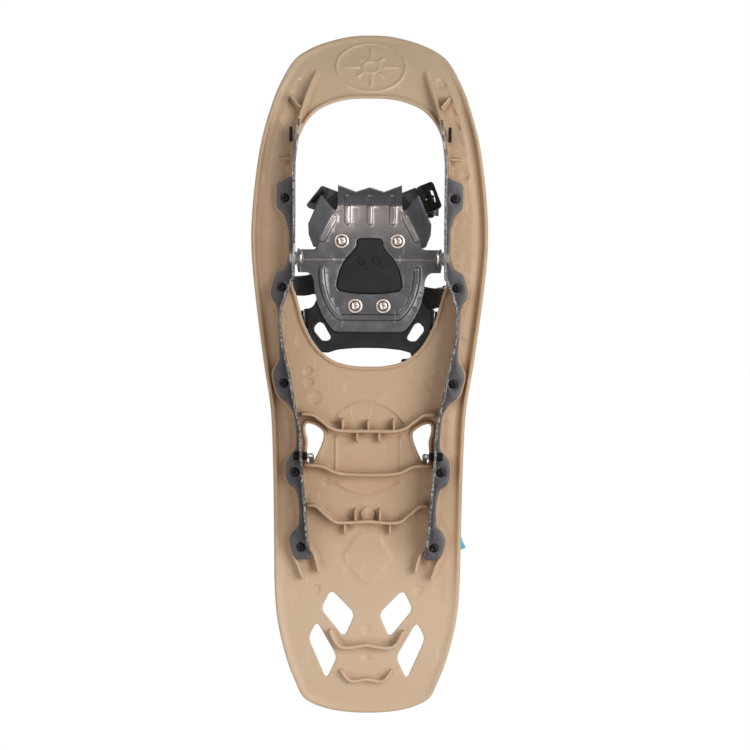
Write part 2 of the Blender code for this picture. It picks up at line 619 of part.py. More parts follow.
def base_rivet(name, x, y, mat):
    low = PLATE_LOW - 1.3
    profile = [(-1.8, 1.2), (-1.8, 3.3), (-0.2, 3.3), (-0.2, 2.3), (BASE_TOP - low + 0.3, 2.3),
               (BASE_TOP - low + 0.3, 4.2), (BASE_TOP - low + 1.1, 3.4)]
    return add_piece(name, *turned(profile, (x, y, low), (0, 0, 1)), mat, (x, y, low))


def base_washer(name, x, y, mat):
    return add_piece(name, *ring((x, y, PLATE_LOW - 1.3), (0, 0, 1), 5.9, 2.7, 1.0, 18), mat)


def snow_pad(mat):
    outline = shrink(both_sides(WINDOW_HALF), 0.5)
    holes = [circle(x, y, 1.9) for x, y in PAD_STUDS]
    low, high = level(PLATE_LOW - 0.6), level(PLATE_TOP - 0.1)
    return add_piece("anti_snow_pad", *slab(outline, low, high, holes), mat)


def pad_stud(name, x, y, mat):
    low = PLATE_LOW - 0.9
    profile = [(-0.9, 3.1), (0, 3.5), (0, 1.6), (BASE_TOP - low + 0.3, 1.6), (BASE_TOP - low + 0.3, 2.8),
               (BASE_TOP - low + 0.9, 2.2)]
    return add_piece(name, *turned(profile, (x, y, low), (0, 0, 1)), mat)


# ---------------------------------------------------------------- straps and buckles
STRAP_THICK = 2.0
STRAP_Y = {1: -65.0, -1: -74.0}  # where the instep strap stands up beside the foot
STRAP_FOOT = {1: [(31, -68.5), (42, -65.5), (53, -63.8), (62, -64.2)],
              -1: [(31, -81), (42, -76.5), (53, -73.2), (62, -73.4)]}
STRAP_RIVET = {1: (36, -67.0), -1: (-36, -79.0)}


def smooth_strap(name, path, width_dirs, width, mat, thick=STRAP_THICK, step=9):
    count = len(path)
    joined = [(*p, *w) for p, w in zip(path, width_dirs)]
    fine = spline(joined, step) if count > 2 else joined
    return add_piece(name, *strap([f[:3] for f in fine], [f[3:] for f in fine], width, thick), mat)


def toe_strap(mat):
    top = [(42.5, -142.5, 58), (43, -141, 64), (43, -141, 82), (38, -140.5, 92), (22, -140, 100)]
    wide = [(0.62, 0.785, 0)] * 3 + [(0.2, 1, 0)] + [(0, 1, 0)] * 4
    path, wides = [], []
    for side in (1, -1):
        half = [wing_place(side, *SLOT_AT[side], above) for above in (-6.0, -1.75, 2.6)] + mirrored(top, side)
        turned_wide = mirrored(wide, side)
        path, wides = (half, turned_wide) if side == 1 else (path + [(0, -140, 102.5)] + half[::-1],
                                                             wides + [(0, 1, 0)] + turned_wide[::-1])
    return smooth_strap("toe_strap", path, wides, 12, mat)


def instep_strap(mat):
    path, wides = [], []
    for side in (1, -1):
        y = STRAP_Y[side]
        heights = (BASE_TOP + 1.3, BASE_TOP + 1.5, 42, 50)
        half = [(side * a, b, z) for (a, b), z in zip(STRAP_FOOT[side], heights)]
        half += [(side * 64, y, 60), (side * 64, y, 82), (side * 59, y - 1, 96)]
        half.append((side * 40, -69 + side * 7, 109))
        wide = [(-side * 0.45, 0.89, 0)] * 3 + [(-side * 0.2, 0.97, 0)] + [(0, 1, 0)] * 4
        path, wides = (half, wide) if side == 1 else (path + [(0, -69, 115)] + half[::-1],
                                                     wides + [(0, 1, 0)] + wide[::-1])
    obj = smooth_strap("instep_strap", path, wides, 16.5, mat)
    for side in (1, -1):
        foot = (*STRAP_RIVET[side], BASE_TOP - 3)
        cutter = add_piece("cutter", *turned([(0, 1.9), (9, 1.9)], foot, (0, 0, 1)), mat)
        combine(obj, [cutter], "DIFFERENCE")
    return obj


def strap_rivet(name, side, mat):
    x, y = STRAP_RIVET[side]
    low = BASE_LOW + 0.3
    profile = [(0, 1.6), (BASE_THICK + 2.5, 1.6), (BASE_THICK + 2.5, 3.2), (BASE_THICK + 3.3, 2.6)]
    return add_piece(name, *turned(profile, (x, y, low), (0, 0, 1)), mat)


def buckle_body(name, buckle, width, mat):
    """A back plate on the strap with two cheeks that hold the lever's pin."""
    side, x, y, z = buckle
    half = width / 2
    back = [(x, y - half), (x + 1.8, y - half), (x + 1.8, y + half), (x, y + half)]
    pieces = [add_piece(name, *slab(mirrored(back, side), level(z - 6), level(z + 13)), mat)]
    for end in (-1, 1):
        a, b = y + end * (half - 2.0), y + end * half
        cheek = [(x + 1, a), (x + LEVER_OUT + 3, a), (x + LEVER_OUT + 3, b), (x + 1, b)]
        pieces.append(add_piece("cheek", *slab(mirrored(cheek, side), level(z - 4), level(z + 5)), mat))
    combine(pieces[0], pieces[1:])
    hinge = (side * (x + LEVER_OUT), y - half - 3, z)
    cutter = add_piece("cutter", *turned([(0, 1.5), (width + 6, 1.5)], hinge,
                                         (0, 1, 0), 10), mat)
    return combine(pieces[0], [cutter], "DIFFERENCE")


def buckle_lever(name, buckle, width, mat):
    """A cam lever: a barrel round the pin and a curved tongue up along the strap."""
    side, x, y, z = buckle
    half = width / 2 - 2.4
    cx = x + LEVER_OUT
    place = (side * cx, y, z)
    barrel = add_piece(name, *ring((side * cx, y - half, z), (0, 1, 0), 3.3, 1.55, 2 * half, 14), mat, place)
    rows = [(1.9, 2.3), (8, 2.6), (16, 3.6), (22, 5.6), (25, 7.4)]
    outer = [(cx + out + 0.2, z + up) for up, out in rows]
    inner = [(cx + out - 2.2, z + up) for up, out in rows][::-1]
    profile = outer + inner
    sections = [[(side * px, y + dy, pz) for px, pz in profile] for dy in (-half, half)]
    tongue = add_piece("tongue", *sweep(sections), mat)
    return combine(barrel, [tongue])


def buckle_pin(name, buckle, width, mat):
    side, x, y, z = buckle
    place = (side * (x + LEVER_OUT), y - width / 2 - 0.8, z)
    ends = width + 1.6
    return add_piece(name, *turned([(0, 1.9), (0.5, 2.2), (0.5, 1.2), (ends - 0.5, 1.2), (ends - 0.5, 2.2),
                                    (ends, 1.9)], place, (0, 1, 0), 10), mat, place)


def loop_box(name, low, high, slot_low, slot_high, axis, mat):
    """A rectangular sleeve: a box with a slot through it along one axis (0, 1 or 2)."""
    others = [k for k in range(3) if k != axis]

    def corners(a, b):
        return [(a[others[0]], a[others[1]]), (b[others[0]], a[others[1]]),
                (b[others[0]], b[others[1]]), (a[others[0]], b[others[1]])]
    flat, faces = slab(rounded(corners(low, high), 1.2, 2), level(low[axis]), level(high[axis]),
                       [corners(slot_low, slot_high)])
    verts = np.empty_like(flat)
    verts[:, others[0]], verts[:, others[1]], verts[:, axis] = flat[:, 0], flat[:, 1], flat[:, 2]
    return add_piece(name, *outward(verts, faces), mat)


HEEL_PATH = [(55.4, -53), (55.4, -46), (55.4, 0), (55.4, 50), (55.4, 64), (55.4, 78), (52.8, 97), (45, 112),
             (31, 124.5), (12, 131.4), (0, 132)]
HEEL_Z = 51.5


def heel_strap(mat):
    half = spline([p for p in HEEL_PATH if p[1] > -50], 8)
    line = [HEEL_PATH[0]] + half
    line = line + mirrored(line[-2::-1], -1)
    obj = add_piece("heel_strap", *strap([(x, y, HEEL_Z) for x, y in line], (0, 0, 1), 17, STRAP_THICK), mat,
                    (0, *HEEL))
    for side in (1, -1):
        cutter = add_piece("cutter", *turned([(0, 2.7), (8, 2.7)], (side * 51.5, *HEEL), (side, 0, 0)), mat)
        combine(obj, [cutter], "DIFFERENCE")
    return obj


def heel_rivet(name, side, mat):
    place = (side * (LUG_X - 1.9), *HEEL)
    profile = [(0, 3.2), (0.8, 4.6), (1.5, 4.6), (1.5, 2.35), (8.3, 2.35), (8.3, 4.4), (9.0, 4.4), (9.8, 3.2)]
    return add_piece(name, *turned(profile, place, (side, 0, 0)), mat, place)


TAIL_PATH = [(58.2, 54, HEEL_Z), (58.2, 66, HEEL_Z), (58.3, 78, HEEL_Z), (59.8, 94, 49), (63, 110, 44),
             (67, 123.4, 40)]
TAIL_WIDE = [(0, 0, 1), (0, 0, 1), (0, 0, 1), (0.35, -0.15, 0.9), (0.7, -0.35, 0.5), (0.9, -0.42, 0.12)]
GRIP_PATH = [(67.6, 125.0, 39.7), (72.0, 134.5, 38.2), (79.2, 142.6, 36.9)]


def heel_tail(mat):
    return smooth_strap("heel_strap_tail", TAIL_PATH, TAIL_WIDE, 13, mat, 1.6, 6)


def tail_grip(mat):
    """The coloured grip on the strap's free end, rounded towards its tip."""
    widths = [12, 12, 10.5, 8, 5.5]
    fine = spline(GRIP_PATH, 4.6)
    picked = [fine[round(k * (len(fine) - 1) / 4)] for k in range(5)]
    sections = []
    for i, p in enumerate(picked):
        p = np.array(p)
        wide = np.array([0.915, -0.4, 0.04]) * widths[i] / 2
        thick = np.array([0.05, 0.1, 0.99]) * 1.5
        sections.append([p - wide - thick, p + wide - thick, p + wide + thick, p - wide + thick])
    return add_piece("heel_strap_grip", *sweep(sections), mat)


# ---------------------------------------------------------------- heel lifter
LIFT_Z = LIFT[1] + 21.9
BAR_Y, BAR_Z = 118.0, 38.6


def lifter_bail(mat):
    """The bent wire: stubs in the clips, risers through the side holes, legs and a crossbar."""
    half = [(60.5, LIFT[0], LIFT[1]), (49.4, LIFT[0], LIFT[1]), (47.4, LIFT[0], LIFT[1] + 0.6),
            (46.6, LIFT[0], LIFT[1] + 2.4), (46.6, LIFT[0], LIFT_Z - 2.5),
            (46.6, LIFT[0] + 0.8, LIFT_Z - 0.7), (46.6, LIFT[0] + 2.6, LIFT_Z), (45.8, 90, LIFT_Z + 0.3),
            (43, 106, LIFT_Z + 1.4), (38, 114, BAR_Z - 0.3), (31, 117.6, BAR_Z), (26, BAR_Y, BAR_Z),
            (0, BAR_Y, BAR_Z)]
    path = half + mirrored(half[-2::-1], -1)
    return add_piece("lifter_bail", *tube(path, WIRE, 10), mat, (0, *LIFT))


def heel_rest(mat):
    place = (-22, BAR_Y, BAR_Z)
    return add_piece("heel_rest", *ring(place, (1, 0, 0), 4.4, WIRE + 0.35, 44, 14), mat, place)


# ---------------------------------------------------------------- the whole snowshoe
def build():
    clear_scene()
    tan = material("deck_plastic", (0.52, 0.36, 0.22), 0.55)
    rail_steel = material("rail_steel", (0.10, 0.10, 0.11), 0.45, 0.8)
    crampon_steel = material("crampon_steel", (0.25, 0.25, 0.26), 0.4, 0.9)
    zinc = material("zinc", (0.75, 0.74, 0.72), 0.3, 1.0)
    black = material("black_plastic", (0.02, 0.02, 0.022), 0.5)
    screw_black = material("black_screws", (0.015, 0.015, 0.016), 0.4, 0.5)
    pad_black = material("pad_rubber", (0.018, 0.018, 0.018), 0.75)
    webbing = material("strap_webbing", (0.02, 0.02, 0.023), 0.8)
    cyan = material("cyan_grip", (0.05, 0.5, 0.65), 0.5)
    wire = material("wire_steel", (0.6, 0.6, 0.6), 0.3, 1.0)

    deck(tan)
    for side, word in ((-1, "left"), (1, "right")):
        rail("rail_" + word, side, rail_steel)
        for number, (x, y) in enumerate(RAIL_SCREWS, 1):
            rail_screw(f"rail_screw_{word}_{number}", side * x, y, screw_black)
        front_pin("rail_pin_" + word, side, screw_black)
        pivot_rivet("pivot_rivet_" + word, side, zinc)
        lifter_clip("lifter_clip_" + word, side, black)
        heel_rivet("heel_rivet_" + word, side, zinc)
        strap_rivet("instep_rivet_" + word, side, black)
    crampon_plate(crampon_steel)
    binding_base(black)
    for number, (x, y) in enumerate(BASE_RIVETS, 1):
        base_rivet(f"base_rivet_{number}", x, y, zinc)
        base_washer(f"base_washer_{number}", x, y, zinc)
    snow_pad(pad_black)
    for number, (x, y) in enumerate(PAD_STUDS, 1):
        pad_stud(f"pad_stud_{number}", x, y, pad_black)
    toe_strap(webbing)
    instep_strap(webbing)
    for word, buckle, width in (("toe", TOE_BUCKLE, 18), ("instep", INSTEP_BUCKLE, 25)):
        buckle_body(word + "_buckle", buckle, width, black)
        buckle_lever(word + "_lever", buckle, width, black)
        buckle_pin(word + "_buckle_pin", buckle, width, zinc)
    loop_box("instep_keeper", (60.9, -75.0, 66), (67.4, -55.0, 72), (62.2, -73.8, 66), (66.0, -56.2, 72), 2,
             black)
    heel_strap(webbing)
    loop_box("heel_buckle", (52.8, 54, 40.6), (61, 72, 62.4), (54.0, 54, 42.6), (59.6, 72, 60.4), 1, black)
    heel_tail(webbing)
    tail_grip(cyan)
    lifter_bail(wire)
    heel_rest(black)


build()
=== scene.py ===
"""The looks of a moulded-deck snowshoe, built round its CAD frame.

Shapes are worked out in millimetres in the frame's own axes, with the toe at -Y and the ground at Z = 0.
"""
import json
import math

import bmesh
import bpy
import numpy as np
from mathutils import Matrix, Vector
from mathutils.geometry import delaunay_2d_cdt


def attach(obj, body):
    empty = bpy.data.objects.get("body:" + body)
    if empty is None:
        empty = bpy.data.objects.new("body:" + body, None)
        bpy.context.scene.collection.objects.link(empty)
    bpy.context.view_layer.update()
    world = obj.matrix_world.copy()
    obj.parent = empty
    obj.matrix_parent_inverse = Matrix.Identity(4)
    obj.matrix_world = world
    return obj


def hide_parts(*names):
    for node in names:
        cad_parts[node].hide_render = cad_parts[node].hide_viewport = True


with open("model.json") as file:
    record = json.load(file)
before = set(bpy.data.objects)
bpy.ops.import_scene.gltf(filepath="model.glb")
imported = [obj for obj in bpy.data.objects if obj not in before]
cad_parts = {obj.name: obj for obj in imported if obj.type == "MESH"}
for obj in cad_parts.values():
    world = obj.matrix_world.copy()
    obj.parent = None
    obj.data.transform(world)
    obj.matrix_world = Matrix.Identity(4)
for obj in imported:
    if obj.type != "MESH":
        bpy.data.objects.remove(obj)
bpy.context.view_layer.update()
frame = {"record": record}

MM = 0.001
CENTRE = (0.0, 4.25, 0.0)  # from the drawing's zero line to the middle of the whole object, in millimetres
BODY_OF = {node: body for body, nodes in frame["record"]["behaviour"]["bodies"].items() for node in nodes}

# --- heights and places shared with the frame ---
DECK_LOW, DECK_TOP = 30.0, 33.0
RIM_LOW, GROOVE_LOW, SIDE_LOW = 24.5, 29.5, 27.5
FLANGE_LOW, FLANGE_TOP = 18.0, 20.0
PLATE_LOW, PLATE_TOP = 31.5, 33.5
BASE_LOW, BASE_TOP = 33.8, 37.3
PIVOT = (-94.7, 11.0)
LIFT = (66.5, 14.4)

HALF_OUTLINE = [(0, -286.5), (16, -285.6), (34, -281), (50, -274), (64.2, -262.8), (75.4, -241.1),
                (82.5, -220.2), (90, -189.7), (95.2, -150), (97.2, -111), (94.2, -71.3), (86.5, -12.3),
                (80.3, 27), (78.1, 66.4), (76.7, 125.4), (75.8, 174.6), (72.9, 204.1), (65.6, 233.7),
                (57.9, 253.6), (52.5, 264.5), (44, 270.5), (30, 275.2), (14, 277.5), (0, 278)]
FOOT_HOLE = [(0, -229), (22, -227.5), (41, -220.3), (51.6, -210), (57.4, -199), (60.2, -188), (63.6, -170),
             (63.6, -84), (60, -66), (57, -55), (52.4, -40), (42.6, -23), (29.5, -12), (14, -7.6), (0, -6.9)]
SIDE_HOLE = [(50.6, 40.4), (44.6, 41.2), (37.5, 46), (36.6, 51), (38.2, 57), (41.6, 65), (44.5, 70.5),
             (47.5, 73), (50.4, 68.5), (49.6, 55), (51.6, 46)]
TAIL_HOLES = [[(29.5, 176.3), (10, 196), (18.4, 215.7), (37.8, 192.3)],
              [(41, 202.5), (24.2, 231.7), (33, 250.4), (48, 216)]]
BLADE_LINE = [(57.3, -209), (58.8, -192.6), (60.6, -176), (60.9, -160), (60.9, -86), (63, -76),
              (68.4, -61), (71, -50), (70.2, -30), (66.9, -13), (63.2, 2.4), (60.2, 20), (57.3, 33),
              (55.4, 41), (53.8, 63.4), (52.8, 80.5), (50.9, 101.6), (50.2, 111), (48, 135), (45.6, 148)]
FLANGE_EDGE = [(63, -162.6), (76, -156), (76, -137), (69.6, -130), (65.8, -118), (65.6, -97), (69.5, -86),
               (76.6, -82.5), (80.4, -68), (80.4, -64), (76, -57), (74.2, -52), (73.4, -41), (72.8, -12.3),
               (78, -1.6), (78.2, 2.5), (75.2, 14), (72.4, 19), (66.5, 23), (61, 31), (59.4, 38), (58.4, 50),
               (58.4, 60.5), (62.4, 65.4), (66.8, 71), (66.8, 84.2), (64.6, 90), (59, 93), (56.4, 101.3),
               (55.5, 112), (56, 123.4), (61.9, 130), (63.6, 134), (63.2, 139), (60.8, 147), (57.4, 151.2),
               (47, 151.2)]
RAIL_SCREWS = [(69.4, -144.2), (71.6, -71.3), (69.2, 7.2), (59.6, 79.7), (54.4, 141.2)]
RIB_A = [(54, 32.5), (45.4, 33), (38, 38), (26, 45.4), (0, 46)]
RIB_B = [(51.5, 74), (37, 75.3), (24, 80.8), (0, 82)]
RIB_C = [(49, 107.5), (42.5, 107.6), (33.5, 115.3), (24, 121), (0, 120)]
TAIL_RIB_1 = [(30, 210.5), (21, 223.2), (0, 221.2)]
TAIL_RIB_2 = [(20.5, 243.1), (13.2, 251.3), (0, 249.7)]


# ---------------------------------------------------------------- lines and outlines
def both_sides(half):
    """A line from its +X half, which starts and ends on the centre line."""
    return list(half) + [(-x, y) for x, y in reversed(half) if abs(x) > 1e-9]


def mirrored(points, side):
    """The points as they are for side 1, or on the other side of the centre line for side -1."""
    return [(side * p[0], *p[1:]) for p in points]


def spline(points, step, closed=False):
    """Catmull-Rom through the points, sampled about every step."""
    pts = np.array(points, float)
    count = len(pts)
    out = []
    for i in range(count if closed else count - 1):
        if closed:
            p0, p1, p2, p3 = (pts[(i + k) % count] for k in (-1, 0, 1, 2))
        else:
            p0, p1, p2, p3 = pts[max(i - 1, 0)], pts[i], pts[i + 1], pts[min(i + 2, count - 1)]
        n = max(1, round(np.linalg.norm(p2 - p1) / step))
        for k in range(n):
            t = k / n
            out.append(0.5 * (2 * p1 + (p2 - p0) * t + (2 * p0 - 5 * p1 + 4 * p2 - p3) * t**2
                              + (3 * p1 - p0 - 3 * p2 + p3) * t**3))
    if not closed:
        out.append(pts[-1])
    return [tuple(map(float, p)) for p in out]


def even(line, step, closed=False):
    """The same line with points about every step."""
    pts = np.array(line + line[:1] if closed else line, float)
    length = np.concatenate([[0], np.cumsum(np.linalg.norm(np.diff(pts, axis=0), axis=1))])
    n = max(2, round(length[-1] / step))
    at = np.linspace(0, length[-1], n + 1)[: n if closed else n + 1]
    return [tuple(np.interp(s, length, pts[:, k]) for k in range(pts.shape[1])) for s in at]


def divided(corners, step):
    """A closed outline with points about every step, its corners kept."""
    out = []
    for a, b in zip(corners, corners[1:] + corners[:1]):
        n = max(1, round(math.dist(a, b) / step))
        out += [(a[0] + (b[0] - a[0]) * k / n, a[1] + (b[1] - a[1]) * k / n) for k in range(n)]
    return out


def rounded(points, radius, steps=6):
    """A closed outline with its corners rounded off."""
    pts = [np.array(p, float) for p in points]
    out = []
    for i, corner in enumerate(pts):
        before, after = pts[i - 1], pts[(i + 1) % len(pts)]
        cut = min(radius, 0.45 * np.linalg.norm(before - corner), 0.45 * np.linalg.norm(after - corner))
        a = corner + (before - corner) / np.linalg.norm(before - corner) * cut
        b = corner + (after - corner) / np.linalg.norm(after - corner) * cut
        for k in range(steps + 1):
            t = k / steps
            out.append(tuple((1 - t) ** 2 * a + 2 * t * (1 - t) * corner + t**2 * b))
    return out


def circle(x, y, radius, count=28):
    return [(x + radius * math.cos(2 * math.pi * k / count), y + radius * math.sin(2 * math.pi * k / count))
            for k in range(count)]


def band(line, half):
    """The closed outline at a distance on both sides of an open line."""
    pts = np.array(line, float)
    left, right = [], []
    for i, p in enumerate(pts):
        before = p - pts[i - 1] if i else pts[1] - p
        after = pts[i + 1] - p if i + 1 < len(pts) else before
        before, after = before / np.linalg.norm(before), after / np.linalg.norm(after)
        normal = np.array([-(before + after)[1], (before + after)[0]])
        normal /= np.linalg.norm(normal)
        reach = half / max(0.5, normal @ np.array([-after[1], after[0]]))
        left.append(tuple(p + normal * reach))
        right.append(tuple(p - normal * reach))
    caps = []
    for tip, toward in ((pts[-1], pts[-1] - pts[-2]), (pts[0], pts[0] - pts[1])):
        toward = toward / np.linalg.norm(toward)
        side = np.array([-toward[1], toward[0]])
        caps.append([tuple(tip + half * (math.cos(a) * side + math.sin(a) * toward))
                     for a in (math.pi / 4, math.pi / 2, 3 * math.pi / 4)])
    return left + caps[0] + right[::-1] + caps[1]


def shrink(outline, distance_in):
    """A closed outline moved inward (positive) by a distance; right for gentle outlines."""
    pts = np.array(outline, float)
    turn = np.sum(pts[:, 0] * np.roll(pts[:, 1], -1) - pts[:, 1] * np.roll(pts[:, 0], -1))
    along = np.roll(pts, -1, 0) - np.roll(pts, 1, 0)
    along /= np.linalg.norm(along, axis=1)[:, None]
    inward = np.stack([-along[:, 1], along[:, 0]], 1) * np.sign(turn)
    return [tuple(p) for p in pts + inward * distance_in]


def inside(points, outline):
    """Which of the points lie inside an outline."""
    pts, poly = np.atleast_2d(points), np.array(outline, float)
    found = np.zeros(len(pts), bool)
    near = np.flatnonzero(np.all((pts >= poly.min(0)) & (pts <= poly.max(0)), axis=1))
    a, b = poly, np.roll(poly, -1, 0)
    for part in np.array_split(near, max(1, len(near) // 4000)):
        y = pts[part, None, 1]
        crosses = (a[None, :, 1] > y) != (b[None, :, 1] > y)
        with np.errstate(divide="ignore", invalid="ignore"):
            at = (b[:, 0] - a[:, 0]) * (y - a[:, 1]) / (b[:, 1] - a[:, 1]) + a[:, 0]
        found[part] = (crosses & (pts[part, None, 0] < at)).sum(1) % 2 == 1
    return found


def distance(points, line, closed=True, reach=20.0):
    """How far each point is from a line, capped at reach, and how far along the line it falls (0 to 1)."""
    pts, a = np.atleast_2d(points), np.array(line, float)
    b = np.roll(a, -1, 0) if closed else a[1:]
    a = a if closed else a[:-1]
    length = np.linalg.norm(b - a, axis=1)
    start = np.concatenate([[0], np.cumsum(length)[:-1]])
    gap, along = np.full(len(pts), float(reach)), np.zeros(len(pts))
    low, high = np.minimum(a, b).min(0) - reach, np.maximum(a, b).max(0) + reach
    near = np.flatnonzero(np.all((pts >= low) & (pts <= high), axis=1))
    for part in np.array_split(near, max(1, len(near) // 4000)):
        if not len(part):
            continue
        rel = pts[part, None, :] - a
        t = np.clip((rel * (b - a)).sum(2) / np.maximum(length, 1e-9) ** 2, 0, 1)
        d = np.linalg.norm(rel - t[..., None] * (b - a), axis=2)
        nearest = d.argmin(1)
        rows = np.arange(len(part))
        gap[part] = np.minimum(d[rows, nearest], reach)
        along[part] = (start + t * length)[rows, nearest] / length.sum()
    return gap, along


def smooth(t):
    t = np.clip(t, 0.0, 1.0)
    return t * t * (3 - 2 * t)


def ramp(value, start, end):
    return np.clip((value - start) / (end - start), 0.0, 1.0)


def bevel(edge, width):
    """1 right at an edge, falling away to 0 over a width: how far a soft edge is set back."""
    return (1 - ramp(edge, 0, width)) ** 2


def away(points, x, y):
    return np.hypot(points[:, 0] - x, points[:, 1] - y)


def rings(outline, *steps):
    """Mesh lines inside an outline at these distances from it; negative ones lie outside."""
    return [(shrink(outline, step), True) for step in steps]


def grid_inside(outline, xs, ys, margin):
    return [(x, y) for x in xs for y in ys if inside([(x, y)], shrink(outline, margin))[0]]


# ---------------------------------------------------------------- meshes
def stand_in(name, mesh, node, mat, sharp, place=Matrix()):
    """A piece that is shown for a CAD node and rides on that node's body."""
    mesh.materials.clear()
    mesh.materials.append(mat)
    obj = bpy.data.objects.new(name, mesh)
    obj.matrix_world = place
    bpy.context.collection.objects.link(obj)
    mesh.shade_smooth()
    mesh.set_sharp_from_angle(angle=math.radians(sharp))
    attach(obj, BODY_OF[node])
    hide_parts(node)


def add_mesh(node, look, verts, faces, mat, sharp=38):
    """The piece for a node, from points in millimetres; its name ends in its look."""
    mesh = bpy.data.meshes.new(node + look)
    mesh.from_pydata(((np.array(verts, float) + CENTRE) * MM).tolist(), [],
                     [list(map(int, f)) for f in faces])
    stand_in(node + look, mesh, node, mat, sharp)


def sheet(outline, low, high, holes=(), lines=(), points=()):
    """A closed sheet over an outline with holes; low and high give the two surfaces' heights."""
    verts, edges = [], []
    for loop, closed in [(outline, True)] + [(h, True) for h in holes] + list(lines):
        first = len(verts)
        verts += [tuple(p) for p in loop]
        edges += [(first + k, first + k + 1) for k in range(len(loop) - 1)]
        if closed:
            edges.append((len(verts) - 1, first))
    verts += [tuple(p) for p in points]
    flat, _, tris, *_ = delaunay_2d_cdt(verts, edges, [], 0, 0.02)
    flat = np.array([tuple(v) for v in flat])
    tris = np.array([t for t in tris if len(t) == 3])
    corner = flat[tris]
    side_a, side_b = corner[:, 1] - corner[:, 0], corner[:, 2] - corner[:, 0]
    area = side_a[:, 0] * side_b[:, 1] - side_a[:, 1] * side_b[:, 0]
    tris[area < 0] = tris[area < 0][:, ::-1]
    middle = corner.mean(1)
    keep = inside(middle, outline) & (np.abs(area) > 1e-5)
    for hole in holes:
        keep &= ~inside(middle, hole)
    tris = tris[keep]
    used = np.unique(tris)
    number = np.full(len(flat), -1)
    number[used] = np.arange(len(used))
    flat, tris = flat[used], number[tris]
    count = len(flat)
    solid = np.concatenate([np.c_[flat, low(flat)], np.c_[flat, high(flat)]])
    directed = {(int(t[k]), int(t[(k + 1) % 3])) for t in tris for k in range(3)}
    walls = [(a, b, b + count, a + count) for a, b in sorted(directed) if (b, a) not in directed]
    faces = [tuple(t[::-1]) for t in tris] + [tuple(t + count) for t in tris] + walls
    return solid, faces


# ---------------------------------------------------------------- materials
def srgb(*values):
    return tuple(v / 255 / 12.92 if v <= 10 else ((v / 255 + 0.055) / 1.055) ** 2.4 for v in values) + (1.0,)


def add_node(tree, kind, output, inputs, **settings):
    """One output of a new node whose inputs are set to values or linked to other outputs."""
    node = tree.nodes.new(kind)
    for name, value in settings.items():
        setattr(node, name, value)
    for name, value in inputs.items():
        if isinstance(value, bpy.types.NodeSocket):
            tree.links.new(value, node.inputs[name])
        else:
            node.inputs[name].default_value = value
    return node.outputs[output]


class Surface:
    """A Principled material whose looks are built from small layers, in the piece's own space."""

    def __init__(self, name, colour, rough, metal=0.0, specular=0.5):
        self.mat = bpy.data.materials.new(name)
        self.mat.use_nodes = True
        self.tree = self.mat.node_tree
        self.shader = self.tree.nodes["Principled BSDF"]
        self.shader.inputs["Metallic"].default_value = metal
        self.shader.inputs["Specular IOR Level"].default_value = specular
        self.place = self.node("ShaderNodeTexCoord", "Object", {})
        self.colour = self.node("ShaderNodeRGB", 0, {})
        self.colour.default_value = srgb(*colour)
        self.rough = self.node("ShaderNodeValue", 0, {})
        self.rough.default_value = rough
        self.normal = None

    def node(self, kind, output, inputs, **settings):
        return add_node(self.tree, kind, output, inputs, **settings)

    def noise(self, scale, low=0.35, high=0.65, detail=4.0, stretch=(1, 1, 1)):
        """Noise from 0 to 1 with spots about 1/scale metres wide, drawn out where the stretch is under 1."""
        place = self.place
        if stretch != (1, 1, 1):
            place = self.node("ShaderNodeMapping", "Vector", {"Scale": stretch, "Vector": place})
        cloud = self.node("ShaderNodeTexNoise", "Fac", {"Scale": scale, "Detail": detail, "Vector": place})
        return self.above(cloud, low, high)

    def above(self, value, low, high):
        """0 at low and under it, 1 at high and over it."""
        return self.node("ShaderNodeMapRange", "Result", {"From Min": low, "From Max": high, "Value": value},
                         interpolation_type="SMOOTHSTEP")

    def below(self, value, low, high):
        return self.math("SUBTRACT", 1.0, self.above(value, low, high))

    def math(self, operation, a, b=0.0):
        return self.node("ShaderNodeMath", 0, {0: a, 1: b}, operation=operation)

    def along(self, axis):
        """How far along an axis of the piece's own space, in metres."""
        return self.node("ShaderNodeSeparateXYZ", axis, {0: self.place})

    def underside(self):
        """1 where the surface faces down."""
        facing = self.node("ShaderNodeNewGeometry", "Normal", {})
        up = self.node("ShaderNodeSeparateXYZ", "Z", {0: facing})
        return self.above(self.math("MULTIPLY", up, -1.0), 0.45, 0.7)

    def painted_crevice_shade(self, reach, open_, shut):
        """A mask for painted shade: 0 on open surfaces, 1 down in corners and grooves narrower than the
        reach.
        """
        light = self.node("ShaderNodeAmbientOcclusion", "AO", {"Distance": reach}, samples=8)
        return self.below(light, shut, open_)

    def tint(self, mask, colour, amount=1.0):
        """Another colour where the mask is 1."""
        layer = {"Factor": self.math("MULTIPLY", mask, amount), "A": self.colour, "B": srgb(*colour)}
        self.colour = self.node("ShaderNodeMix", "Result", layer, data_type="RGBA")

    def gloss(self, mask, rough):
        """Another roughness where the mask is 1."""
        self.rough = self.node("ShaderNodeMix", "Result", {"Factor": mask, "A": self.rough, "B": rough})

    def relief(self, height, depth):
        """A bump whose height runs over depth metres."""
        under = {"Normal": self.normal} if self.normal else {}
        self.normal = self.node("ShaderNodeBump", "Normal", {"Distance": depth, "Height": height, **under})

    def done(self):
        self.tree.links.new(self.colour, self.shader.inputs["Base Color"])
        self.tree.links.new(self.rough, self.shader.inputs["Roughness"])
        if self.normal:
            self.tree.links.new(self.normal, self.shader.inputs["Normal"])
        return self.mat


